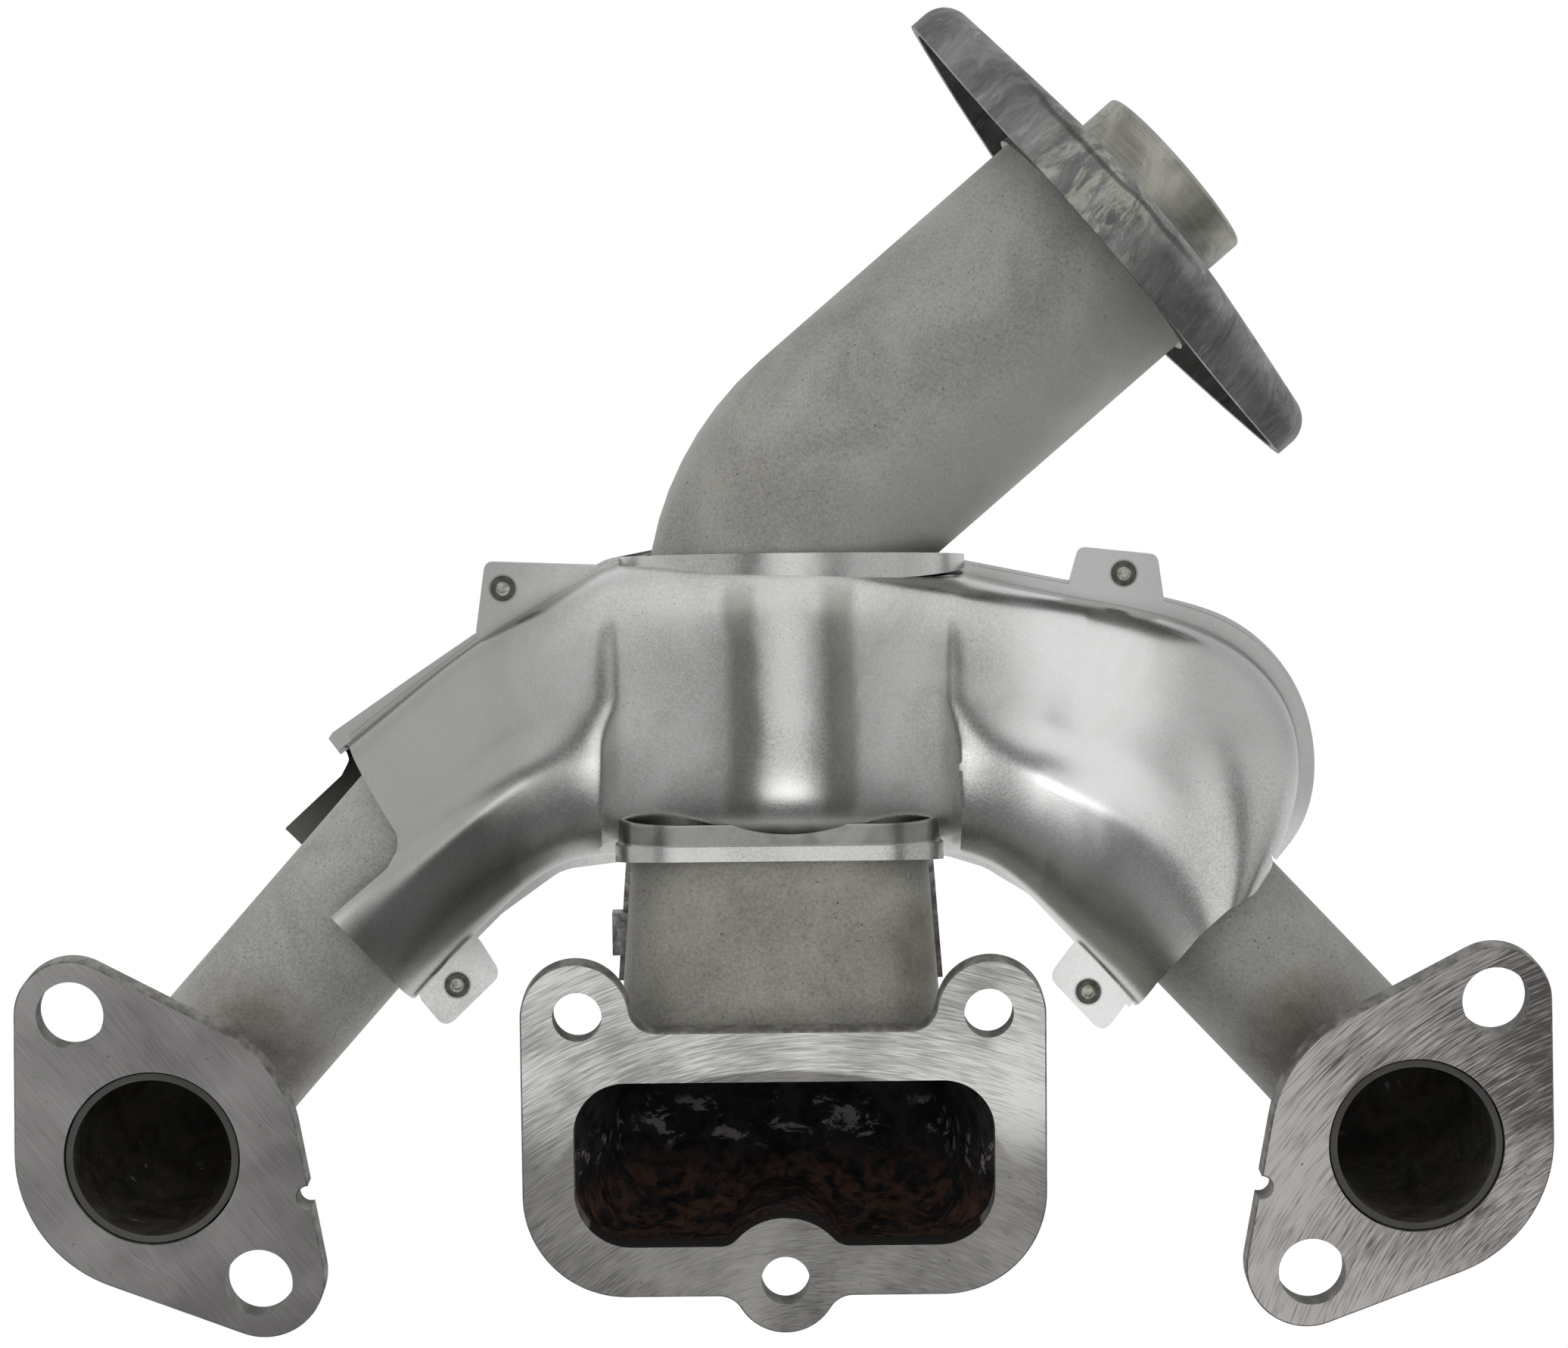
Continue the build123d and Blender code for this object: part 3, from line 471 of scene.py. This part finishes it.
# painted light and shade: the left runner gets a lighter copy of the tube tones, the right runner a darker
# one
PAINTED_LIT_TUBE = tuple(scaled(tone, 1.14) for tone in TUBE)
PAINTED_SHADED_TUBE = tuple(scaled(tone, 0.9) for tone in TUBE)
STEEL = {
    "left_runner": tube_steel("steel_left_runner", *PAINTED_LIT_TUBE, heat_tint(-142.0, 22.0, 26.0)),
    "right_runner": tube_steel("steel_right_runner", *PAINTED_SHADED_TUBE, heat_tint(140.0, 24.0, 22.0)),
    "outlet_pipe": tube_steel("steel_outlet_pipe", *TUBE, painted_light_side=0.36),
    "collector": tube_steel(
        "steel_duct", (0.235, 0.225, 0.198), (0.35, 0.338, 0.3), (0.3, 0.27, 0.21),
        heat_tint(38.0, 52.0, 14.0)
    ),
}
SOOT = soot("soot_tubes")
PORT = port_blacks("soot_center_port")
CAVITY = soot("soot_cavity", 0.15)
SHIELD = shield_sheet("aluminised_sheet")
OUTLET = outlet_steel("mottled_outlet_steel")
WELD = weld_steel("weld_beads")
RIVET = rivet_steel("clinched_rivet")
PLATE = {
    "left_flange": ground_plate(
        "ground_left", -0.9, (0.14, 0.133, 0.129), (0.38, 0.366, 0.356), 0.55,
        side_light=(-0.7, 0.7, 60.0, 220.0)
    ),
    "right_flange": ground_plate(
        "ground_right", 0.0, (0.085, 0.078, 0.074), (0.49, 0.462, 0.446), 1.3,
        arc=(249.0, -86.0, 130.0), side_light=(-0.7, -0.3, -165.0, -75.0), stroke=20.0
    ),
    "center_flange": ground_plate(
        "ground_center", 0.0, (0.1, 0.096, 0.091), (0.35, 0.338, 0.322), 0.85,
        arc=(12.0, -112.0, 110.0), stroke=14.0, port=True
    ),
}

# ----------------------------------------------------------------- mesh helpers


def mesh_object(name, vertices, faces, material, smooth_angle=CREASE):
    """New object from vertices in millimetres."""
    mesh = bpy.data.meshes.new(name)
    points = [tuple(c * MM for c in v) for v in vertices]
    mesh.from_pydata(points, [], [tuple(map(int, f)) for f in faces])
    mesh.validate()
    obj = bpy.data.objects.new(name, mesh)
    SCENE.collection.objects.link(obj)
    mesh.materials.append(material)
    clean(obj, smooth_angle)
    return obj


def clean(obj, smooth_angle):
    """Turns faces outward, and shades them smooth apart from edges sharper than the angle."""
    work = bmesh.new()
    work.from_mesh(obj.data)
    bmesh.ops.recalc_face_normals(work, faces=work.faces)
    for edge in work.edges:
        edge.smooth = len(edge.link_faces) == 2 and edge.calc_face_angle(0.0) < smooth_angle
    for face in work.faces:
        face.smooth = True
    work.to_mesh(obj.data)
    work.free()


def grid_faces(rows, columns, start=0, closed_rows=False, closed_columns=False, flip=False):
    """Four-sided faces between rows of vertices numbered from start."""
    faces = []
    for i in range(rows if closed_rows else rows - 1):
        for j in range(columns if closed_columns else columns - 1):
            a = start + i * columns + j
            b = start + i * columns + (j + 1) % columns
            c = start + ((i + 1) % rows) * columns + (j + 1) % columns
            d = start + ((i + 1) % rows) * columns + j
            faces.append((a, d, c, b) if flip else (a, b, c, d))
    return faces


def evaluated_mesh(obj):
    return bpy.data.meshes.new_from_object(obj.evaluated_get(bpy.context.evaluated_depsgraph_get()))


def combine(name, objects, op=None):
    """Joins objects into the first, or works on the first with a boolean by each of the others."""
    base = objects[0]
    if op is None:
        work = bmesh.new()
        for obj in objects:
            work.from_mesh(obj.data)
        work.to_mesh(base.data)
        work.free()
        for obj in objects[1:]:
            bpy.data.objects.remove(obj)
    else:
        for obj in objects[1:]:
            cut = base.modifiers.new("cut", "BOOLEAN")
            cut.operation = op
            cut.object = obj
            cut.solver = "EXACT"
            shaped = evaluated_mesh(base)
            base.modifiers.clear()
            base.data = shaped
            bpy.data.objects.remove(obj)
    base.name = name
    return base


def prism(name, outline, y0, y1, material=None, holes=()):
    """Plate between two Y planes with an outline and holes in the X-Z plane."""
    curve = bpy.data.curves.new(name, "CURVE")
    curve.dimensions = "2D"
    curve.fill_mode = "BOTH"
    curve.extrude = abs(y1 - y0) / 2 * MM
    for loop in (outline, *holes):
        spline = curve.splines.new("POLY")
        spline.points.add(len(loop) - 1)
        for point, (x, z) in zip(spline.points, loop):
            point.co = (x * MM, z * MM, 0, 1)
        spline.use_cyclic_u = True
    holder = bpy.data.objects.new(name, curve)
    SCENE.collection.objects.link(holder)
    upright = Euler((math.pi / 2, 0, 0)).to_matrix().to_4x4()
    holder.matrix_world = Matrix.Translation((0, (y0 + y1) / 2 * MM, 0)) @ upright
    bpy.context.view_layer.update()
    mesh = evaluated_mesh(holder)
    mesh.transform(holder.matrix_world)
    bpy.data.objects.remove(holder)
    obj = bpy.data.objects.new(name, mesh)
    SCENE.collection.objects.link(obj)
    work = bmesh.new()
    work.from_mesh(mesh)
    bmesh.ops.remove_doubles(work, verts=work.verts, dist=0.001 * MM)
    bmesh.ops.recalc_face_normals(work, faces=work.faces)
    work.to_mesh(mesh)
    work.free()
    mesh.materials.clear()
    if material:
        mesh.materials.append(material)
    return obj


def rounded(points, radius, steps=6):
    """Closed polygon with rounded corners; a point may carry its own radius as a third number."""
    out = []
    count = len(points)
    for i, point in enumerate(points):
        p = np.array(point[:2], float)
        r = point[2] if len(point) > 2 else radius
        before = np.array(points[i - 1][:2], float) - p
        after = np.array(points[(i + 1) % count][:2], float) - p
        la, lb = np.linalg.norm(before), np.linalg.norm(after)
        before, after = before / la, after / lb
        half = math.acos(max(-1.0, min(1.0, float(before @ after)))) / 2
        reach = r / math.tan(half) if half < 1.5 else 0.0
        if reach > 0.49 * min(la, lb):
            reach = 0.45 * min(la, lb)
        if reach < 0.05:  # too straight or too sharp to round
            out.append(tuple(p))
            continue
        a, b = p + before * reach, p + after * reach
        for k in range(steps + 1):
            t = k / steps
            out.append(tuple((1 - t) ** 2 * a + 2 * t * (1 - t) * p + t * t * b))
    return out


def cubic(knots, count):
    """Points along a natural cubic spline through knots, evenly spaced in its parameter."""
    knots = np.array(knots, float)
    t = np.concatenate([[0], np.cumsum(np.linalg.norm(np.diff(knots, axis=0), axis=1))])
    h = np.diff(t)
    n = len(t)
    a = np.eye(n)
    b = np.zeros_like(knots)
    for i in range(1, n - 1):
        a[i, i - 1 : i + 2] = h[i - 1], 2 * (h[i - 1] + h[i]), h[i]
        b[i] = 6 * ((knots[i + 1] - knots[i]) / h[i] - (knots[i] - knots[i - 1]) / h[i - 1])
    m = np.linalg.solve(a, b)
    s = np.linspace(0, t[-1], count)
    k = np.clip(np.searchsorted(t, s, side="right") - 1, 0, n - 2)
    u, v, w = (s - t[k])[:, None], (t[k + 1] - s)[:, None], h[k][:, None]
    return (m[k] * v**3 + m[k + 1] * u**3) / (6 * w) + (knots[k] / w - m[k] * w / 6) * v + (
        knots[k + 1] / w - m[k + 1] * w / 6
    ) * u


# -------------------------------------------------------------------- heat shield
SHEET = 1.2  # thickness of the stamped sheet
PIPE_X, PIPE_Y = 3.5, 46.0  # middle of the round opening on top, and the Y of both openings
DUCT_X = -0.5
# (X, Z) of the shell's upper and lower edge at stations from the left end to the right
STATIONS = (
    ((-152.0, 74.0), (-131.0, -1.0)),
    ((-135.0, 88.0), (-114.0, 17.0)),
    ((-115.5, 102.6), (-97.0, 35.5)),
    ((-98.0, 116.4), (-82.0, 51.3)),
    ((-81.0, 129.0), (-68.5, 63.5)),
    ((-63.0, 140.0), (-57.5, 70.5)),
    ((-46.0, 148.6), (-46.0, 72.8)),
    ((-24.0, 153.2), (-24.0, 75.2)),
    ((0.0, 154.2), (0.0, 75.4)),
    ((24.0, 152.8), (24.0, 75.2)),
    ((46.0, 147.6), (45.0, 72.8)),
    ((62.0, 143.5), (57.0, 68.0)),
    ((78.0, 140.0), (66.0, 60.5)),
    ((101.0, 135.0), (76.0, 50.0)),
    ((122.0, 126.0), (83.5, 42.0)),
    ((135.5, 110.0), (89.0, 36.0)),
    ((138.0, 90.0), (92.5, 32.0)),
    ((130.5, 68.5), (95.5, 28.0)),
    ((121.0, 50.0), (100.0, 20.0)),
)
# left ends of the two halves from bottom to top, with corner radii
FRONT_END = ((-109.0, 48.4), (-118.8, 60.2, 0.4), (-103.7, 72.8, 5), (-101.0, 77.7, 3), (-101.0, 81.3, 3),
             (-115.6, 104.2, 0.4), (-98.5, 117.4))
REAR_END = ((-113.0, 50.0), (-131.2, 71.5, 3), (-135.2, 76.2, 0.5), (-119.4, 90.8, 3), (-117.0, 95.4, 3),
            (-117.4, 99.0, 2), (-120.9, 103.7, 0.5), (-119.9, 105.2, 0.5), (-99.0, 119.6))
# the rivet tabs' corners and corner radius, in the order of RIVETS
TABS = (
    ((-81.3, 129.0), (-78.2, 150.9), (-44.0, 149.5), (-50.0, 138.0), 2.5),
    ((76.0, 139.0), (80.0, 153.2), (101.0, 150.9), (103.0, 137.0), 2.5),
    ((-98.8, 34.4), (-91.0, 24.6), (-75.8, 39.2), (-83.4, 52.0), 3.5),
    ((93.6, 31.4), (86.2, 21.2), (71.6, 37.0), (80.6, 49.0), 3.5),
)


def soft_min(a, b, width):
    """The smaller of a and b, blended where they are within a width of each other."""
    h = np.clip(0.5 + 0.5 * (b - a) / width, 0, 1)
    return b * (1 - h) + a * h - width * h * (1 - h)


def soft_plus(v, width):
    """v where it is positive, 0 where it is negative, blended over a width."""
    return 0.5 * (v + np.sqrt(v * v + width * width))


def smooth(v, low, high):
    """0 below low, 1 above high, with a smooth step between."""
    t = np.clip((v - low) / (high - low), 0, 1)
    return t * t * (3 - 2 * t)


def front_depth(x, share):
    """How far the front skin stands off the seam plane at x, a share of the way up the arch."""
    out = np.abs(x)
    # Y of the centre hump: a round crown in the middle, and a shoulder on each side
    across = np.abs(x - 2.0)
    face = 3.5 + 0.4 * (np.sqrt(across**2 + 19.0**2) - 19.0)
    inside = np.maximum(0.0, 1.0 - (out / 47.5) ** 6)
    hump = PIPE_Y - (PIPE_Y - face) * inside ** (1 / 6)
    # how far up the arms their crest line runs, and how softly it is rounded
    away = smooth(out, 46.0, 84.0)
    crest = np.where(x < 0, 0.41, 0.46) + np.where(x < 0, 0.12, 0.08) * smooth(out, 50.0, 80.0)
    blend = 0.05 + 0.15 * smooth(x, 84.0, 112.0)
    above = soft_plus(share - crest, blend)
    below = soft_plus(crest - share, blend)
    # Y of the arms: they fall back above and below the crest, less so at the right dome
    fade = smooth(x, 84.0, 116.0)
    arm = 18.4 + ((1.0 + 20.0 * away) * above + (13.0 + 6.0 * away) * below) * (1 - 0.3 * fade)
    arm = arm - 16.0 * (blend - 0.05)
    arm = arm + 2.0 * smooth(out, 44.0, 70.0) * (1 - smooth(out, 66.0, 120.0))
    # their upper half leans on back as they leave the hump
    flank = soft_plus(out - 42.0, 6.0) - soft_plus(out - 72.0, 6.0)
    upper = smooth(share, 0.4, 0.6)
    arm = arm + 0.14 * flank * upper * (1 - smooth(out, 70.0, 122.0)) - 2.5 * (1 - away) * upper
    return SEAM - soft_min(hump, arm, 8.0 - 5.0 * upper)


def rear_depth(x, share):
    """How far the rear skin stands off the seam plane: a plain hump between flatter arms."""
    inside = np.maximum(0.0, 1.0 - (np.abs(x) / 47.0) ** 3)
    hump = 39.5 * inside ** (1 / 3)
    return -soft_min(-hump, -29.0 + 4.0 * share**2, 6.0)


def arch(name, side, depth_at, columns=330, rows=110):
    """Closed stamped shell through the stations, one SHEET thick, on one side of the seam."""
    line = cubic([(*top, *bottom) for top, bottom in STATIONS], columns)
    # the rows lie closer together towards both edges, where the sheet bends over
    share = 0.5 - 0.5 * np.cos(math.pi * np.linspace(0, 1, rows))
    share = 0.5 * share + 0.5 * smooth(share, 0, 1)
    vertices = []
    for inset in (0.0, SHEET):
        for top_x, top_z, low_x, low_z in line:
            length = math.hypot(top_x - low_x, top_z - low_z)
            dx, dz = (top_x - low_x) / length, (top_z - low_z) / length
            mid = (top_x + low_x) / 2
            # across the arch the skin follows a superellipse, boxier near the hump and in its upper half
            power = 3.4 + 2.6 * max(0.0, 1.0 - (mid / 75.0) ** 4)
            power = np.where(share < 0.5, 3.4 + 0.3 * (power - 3.4), power)
            along = inset + share * (length - 2 * inset)
            rise = np.maximum(0.0, 1.0 - np.abs(2 * share - 1) ** power) ** (1 / power)
            xs = low_x + dx * along
            depth = (depth_at(xs, along / length) - 1.1 * inset) * rise
            for x, z, d in zip(xs, low_z + dz * along, depth):
                vertices.append((x, SEAM + side * d, z))
    faces = grid_faces(columns, rows)
    faces += grid_faces(columns, rows, columns * rows, flip=True)
    for i in range(columns - 1):
        for j in (0, rows - 1):
            a, b = i * rows + j, (i + 1) * rows + j
            faces.append((a, b, b + columns * rows, a + columns * rows))
    for j in range(rows - 1):
        for i in (0, columns - 1):
            a, b = i * rows + j, i * rows + j + 1
            faces.append((a, b, b + columns * rows, a + columns * rows))
    return mesh_object(name, vertices, faces, SHIELD)


def seam_outline(left_end, lip):
    """Outer outline of a half on the seam plane, from the right end's foot round to the top right."""
    start = [
        (131.8, 67.0), (117.6, 59.8), (110.2, 53.0), (99.4, 39.0), (93.2, 28.4, 0.5), (77.4, 47.8),
        (66.2, 59.9), (54.2, 67.3), (43.9, 70.5), (-40.6, 70.0), (-58.7, 67.8), (-75.2, 56.0),
        (-82.2, 49.0), (-98.2, 33.8, 0.5), *left_end, (-80.7 - lip, 130.4 + lip), (-46.0, 150.2 + lip),
        (-20.0, 155.2 + lip), (12.0, 155.4 + lip), (31.0, 153.6 + lip), (49.5, 149.0 + lip),
        (74.7, 143.8 + lip), (102.0, 138.7 + lip, 0),
    ]
    lobe = cubic([(102.0, 138.7 + lip), (119.6 + lip, 132.4 + lip), (135.4 + lip, 118.2),
                  (142.0 + lip, 97.5), (138.3 + lip, 76.9), (131.8, 67.0)], 60)
    return rounded(start, 14.0, 8) + [tuple(p) for p in lobe[1:-1]]


def ring(name, outer, inner, z_low, z_high):
    """Upright thin ring between two outlines in the X-Y plane; its rims' heights depend on Y."""
    vertices = []
    for outline, height in ((outer, z_low), (outer, z_high), (inner, z_high), (inner, z_low)):
        vertices += [(x, y, height(y)) for x, y in outline]
    faces = grid_faces(4, len(outer), closed_rows=True, closed_columns=True)
    return mesh_object(name, vertices, faces, SHIELD)


def ellipse(cx, cy, a, b, count=120):
    turns = np.linspace(0, 2 * math.pi, count, False)
    return [(cx + a * math.cos(t), cy + b * math.sin(t)) for t in turns]


def box_outline(cx, cy, w, h, r):
    left, right, low, high = cx - w / 2, cx + w / 2, cy - h / 2, cy + h / 2
    return rounded([(left, low), (right, low), (right, high), (left, high)], r, 10)


def plug(name, outline, z0, z1):
    """Upright solid with an outline in the X-Y plane, for cutting an opening."""
    vertices = [(x, y, z) for z in (z0, z1) for x, y in outline]
    count = len(outline)
    ends = [tuple(range(count)), tuple(range(2 * count - 1, count - 1, -1))]
    return mesh_object(name, vertices, grid_faces(2, count, closed_columns=True) + ends, SHIELD)


def half_ring(name, outer, inner, z_low, z_high, side):
    """The half of a collar on one side of the seam plane."""
    whole = ring(name, outer, inner, z_low, z_high)
    beyond = [(-200, -50), (200, -50), (200, 250), (-200, 250)]
    keep = prism(name + "_keep", beyond, SEAM, SEAM + side * 80)
    return combine(name, [whole, keep], "INTERSECT")


# the collars round the openings: outer and inner outline, then the Z of the lower and the upper
# rim at a Y
COLLARS = {
    "top_collar": (
        ellipse(PIPE_X, PIPE_Y, 46.0, 37.2), ellipse(PIPE_X, PIPE_Y, 45.0, 36.2),
        lambda y: 148.6, lambda y: 156.0 - 0.12 * (y - 10.0)
    ),
    "low_collar": (
        box_outline(DUCT_X, PIPE_Y, 85, 73.6, 16), box_outline(DUCT_X, PIPE_Y, 83, 71.6, 15),
        lambda y: 75.5 - 0.136 * (y - 9.5), lambda y: 85.0 + 0.04 * (y - 9.5)
    ),
    "low_lip": (
        box_outline(DUCT_X, PIPE_Y, 86.6, 75.2, 16.8), box_outline(DUCT_X, PIPE_Y, 84, 72.6, 15.5),
        lambda y: 75.3 - 0.136 * (y - 9.5), lambda y: 79.3 - 0.1 * (y - 9.5)
    ),
}
MOUTH_MARGIN = 1.6  # how far the flat flange reaches in under the edge of the arch
RIVET_HOLE = 2.15


def shield_half(name, side, depth_at, left_end, lip):
    """One stamped half: the arch with its openings, flat flange, rivet tabs and collars."""
    outline = seam_outline(left_end, lip)
    body = arch(name + "_arch", side, depth_at)
    keep = prism(name + "_keep", outline, SEAM - side * 2, SEAM + side * 60)
    body = combine(name + "_arch", [body, keep], "INTERSECT")
    pipe_hole = plug(name + "_pipe", ellipse(PIPE_X, PIPE_Y, 45.6, 36.8), 140.0, 165.0)
    duct_hole = plug(name + "_duct", box_outline(DUCT_X, PIPE_Y, 84.2, 72.8, 15.6), 60.0, 80.6)
    body = combine(name + "_arch", [body, pipe_hole, duct_hole], "DIFFERENCE")
    mouth = [(top[0], top[1] - MOUTH_MARGIN) for top, _ in STATIONS[:-3]]
    mouth += [(135.2, 88.0), (128.8, 68.5), (119.8, 50.0)]
    mouth += [(low[0], low[1] + MOUTH_MARGIN) for _, low in reversed(STATIONS)]
    plates = prism(name + "_plate", outline, SEAM, SEAM + side * 1.0, SHIELD)
    opening = prism(name + "_mouth", mouth, SEAM - side * 3, SEAM + side * 4)
    plates = combine(name + "_plate", [plates, opening], "DIFFERENCE")
    pieces = [body, plates]
    for number, ((*corners, radius), rivet) in enumerate(zip(TABS, RIVETS)):
        hole = ellipse(*rivet, RIVET_HOLE, RIVET_HOLE, 28)
        pieces.append(prism(f"{name}_tab{number}", rounded(corners, radius), SEAM + side * 0.02,
                            SEAM + side * 0.98, SHIELD, [hole]))
    for collar, shape in COLLARS.items():
        pieces.append(half_ring(f"{name}_{collar}", *shape, side))
    whole = combine(name, pieces)
    clean(whole, CREASE)
    whole.data.materials.clear()
    whole.data.materials.append(SHIELD)
    for polygon in whole.data.polygons:
        polygon.material_index = 0
    return whole


for half, side, depth_at, left_end, lip in (
    ("front", -1, front_depth, FRONT_END, 0.0), ("rear", 1, rear_depth, REAR_END, 0.9),
):
    stamped = shield_half(f"shield_{half}_stamping", side, depth_at, left_end, lip)
    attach(stamped, "root")
    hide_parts(f"heat_shield_{half}")

# -------------------------------------------------------- finishes of CAD nodes


def facing_walls(obj, reach):
    """Faces whose outward side looks at another wall of the same piece close by."""
    mesh = obj.data
    tree = BVHTree.FromPolygons([v.co for v in mesh.vertices], [p.vertices for p in mesh.polygons])
    clear = 0.4 * MM
    inner = []
    for polygon in mesh.polygons:
        start = polygon.center + polygon.normal * clear
        hit = tree.ray_cast(start, polygon.normal, reach * MM)
        if hit[0] is not None and hit[1].dot(polygon.normal) < 0:
            inner.append(polygon.index)
    return inner


def duct_inside(obj):
    """Faces of the duct's shells that look towards the middle of the gas passage."""
    inner = []
    for polygon in obj.data.polygons:
        x, y, z = (c / MM for c in polygon.center)
        if z > 18.0:  # the riser
            middle = (0.6 * x, PIPE_Y, z)
        elif y < 30.0:  # the passage behind the port
            middle = (0.6 * x, y, -5.0)
        else:  # the bend between them
            middle = (0.6 * x, 42.0, 0.0)
        if polygon.normal.dot(Vector(middle) - Vector((x, y, z))) > 0.5:
            inner.append(polygon.index)
    return inner


def finish_node(name, outer, inner=None, find_inner=None):
    """Gives a CAD node its finish, with a second one on the faces that find_inner picks."""
    obj = nodes[name]
    obj.data.materials.clear()
    obj.data.materials.append(outer)
    for polygon in obj.data.polygons:
        polygon.use_smooth = True
        polygon.material_index = 0
    if inner:
        obj.data.materials.append(inner)
        for index in find_inner(obj):
            obj.data.polygons[index].material_index = 1


for name, plate in PLATE.items():
    finish_node(name, plate)
for half in ("front", "rear"):
    finish_node(f"collector_{half}_shell", STEEL["collector"], PORT, duct_inside)
for name, bore in (("left_runner", 46.0), ("right_runner", 46.0), ("outlet_pipe", 70.0)):
    finish_node(name, STEEL[name], SOOT, lambda tube: facing_walls(tube, bore))
finish_node("outlet_flange", OUTLET)
finish_node("outlet_spigot", turned_steel("turned_spigot", OUTLET_FACE, OUTLET_DIR))
for name in nodes:
    if "weld" in name:
        finish_node(name, WELD)
    elif "rivet" in name:
        finish_node(name, RIVET)

# ------------------------------------------------------------------------- stage


def white_sweep():
    """Plain pale floor below the part that curves up into a wall far away all round."""
    low = cad_box[0][2] - 0.06
    profile = [(2.5, 0.0), (3.4, 0.05), (4.1, 0.3), (4.6, 0.9), (4.8, 1.8), (4.8, 5.0)]
    count = 48
    vertices = []
    for radius, height in profile:
        for x, y in ellipse(0.0, 0.0, radius / MM, radius / MM, count):
            vertices.append((x, y, (low + height) / MM))
    faces = grid_faces(len(profile), count, closed_columns=True) + [tuple(range(count))]
    g = Graph("pale_paper")
    tone = g.mix(g.ramp(g.noise(900, 2.0), 0.3, 0.7), (0.97, 0.97, 0.97), (1.0, 1.0, 1.0))
    glow = g.new("ShaderNodeEmission", tone, BACKDROP).outputs[0]
    clear = g.new("ShaderNodeBsdfTransparent").outputs[0]
    back = g.new("ShaderNodeNewGeometry").outputs["Backfacing"]
    g.put(g.output.inputs["Surface"], g.new("ShaderNodeMixShader", back, glow, clear).outputs[0])
    floor = mesh_object("floor", vertices, faces, g.material, math.radians(172))
    work = bmesh.new()
    work.from_mesh(floor.data)
    work.faces.ensure_lookup_table()
    if work.faces[-1].normal.z < 0:  # the flat middle has to look up
        bmesh.ops.reverse_faces(work, faces=work.faces)
    work.to_mesh(floor.data)
    work.free()
    for ray in ("diffuse", "glossy", "transmission", "shadow", "volume_scatter"):
        setattr(floor, f"visible_{ray}", False)


def studio_light():
    """The studio, drawn in the world: angles are in radians, to the side of the front and up."""
    world = bpy.data.worlds.new("studio")
    SCENE.world = world
    world.use_nodes = True
    w = Nodes(world.node_tree)
    x, y, z = w.split(w.new("ShaderNodeTexCoord").outputs["Generated"])
    wide = w.apart(w.math("ARCTAN2", x, w.times(y, -1.0)))
    rise = w.math("ARCSINE", z)
    # the wall in front of the part: brighter upwards, with a dark gap on each side of the lamps
    wall = w.ramp(rise, -0.75, 0.35, 0.16, 0.98)
    gap = w.times(w.ramp(wide, 0.6, 0.44), w.band(rise, -0.8, -0.6, 0.12, 0.3))
    wall = w.times(wall, w.minus(1.0, w.times(gap, 0.75)))
    floor_bounce = w.times(w.ramp(rise, -0.85, -1.1), 0.35)
    wall = w.plus(wall, floor_bounce)
    back = w.ramp(y, -0.25, 0.35)
    base = w.plus(w.times(wall, w.minus(1.0, back)), w.times(back, 0.85))
    # a narrow upright strip of lamps straight in front, strongest low down
    low_lamp = w.times(w.band(rise, -0.6, -0.5, -0.38, -0.26), 2.5)
    high_lamp = w.times(w.band(rise, -0.42, -0.2, 0.1, 0.3), 0.85)
    strip = w.times(w.ramp(wide, 0.32, 0.18), w.plus(low_lamp, high_lamp))
    lit = w.new("ShaderNodeBackground", (0.98, 0.99, 1.0, 1.0), w.plus(base, strip)).outputs[0]
    # the camera itself sees a plain pale backdrop
    plain = w.new("ShaderNodeBackground", (1.0, 1.0, 1.0, 1.0), BACKDROP).outputs[0]
    seen = w.new("ShaderNodeLightPath").outputs["Is Camera Ray"]
    w.new("ShaderNodeOutputWorld", w.new("ShaderNodeMixShader", seen, lit, plain).outputs[0])


white_sweep()
studio_light()

# ------------------------------------------------------------------------ camera
camera = bpy.data.objects.new("camera", bpy.data.cameras.new("camera"))
SCENE.collection.objects.link(camera)
camera.data.lens = 115.8
camera.data.sensor_width = 36.0
camera.data.clip_start = 0.05
camera.data.clip_end = 60.0
tilt, roll = math.radians(7.0), math.radians(0.6)  # looking down a little, turned a little
right = Vector((1, 0, 0))
up = Vector((0, math.sin(tilt), math.cos(tilt)))
look = Vector((0, math.cos(tilt), -math.sin(tilt)))
cam_right = right * math.cos(roll) - up * math.sin(roll)
cam_up = right * math.sin(roll) + up * math.cos(roll)
pose = Matrix((cam_right, cam_up, -look)).transposed().to_4x4()
pose.translation = Vector((1.2, -1290.3, 284.1)) * MM
camera.matrix_world = pose
SCENE.camera = camera
SCENE.view_settings.view_transform = "Standard"
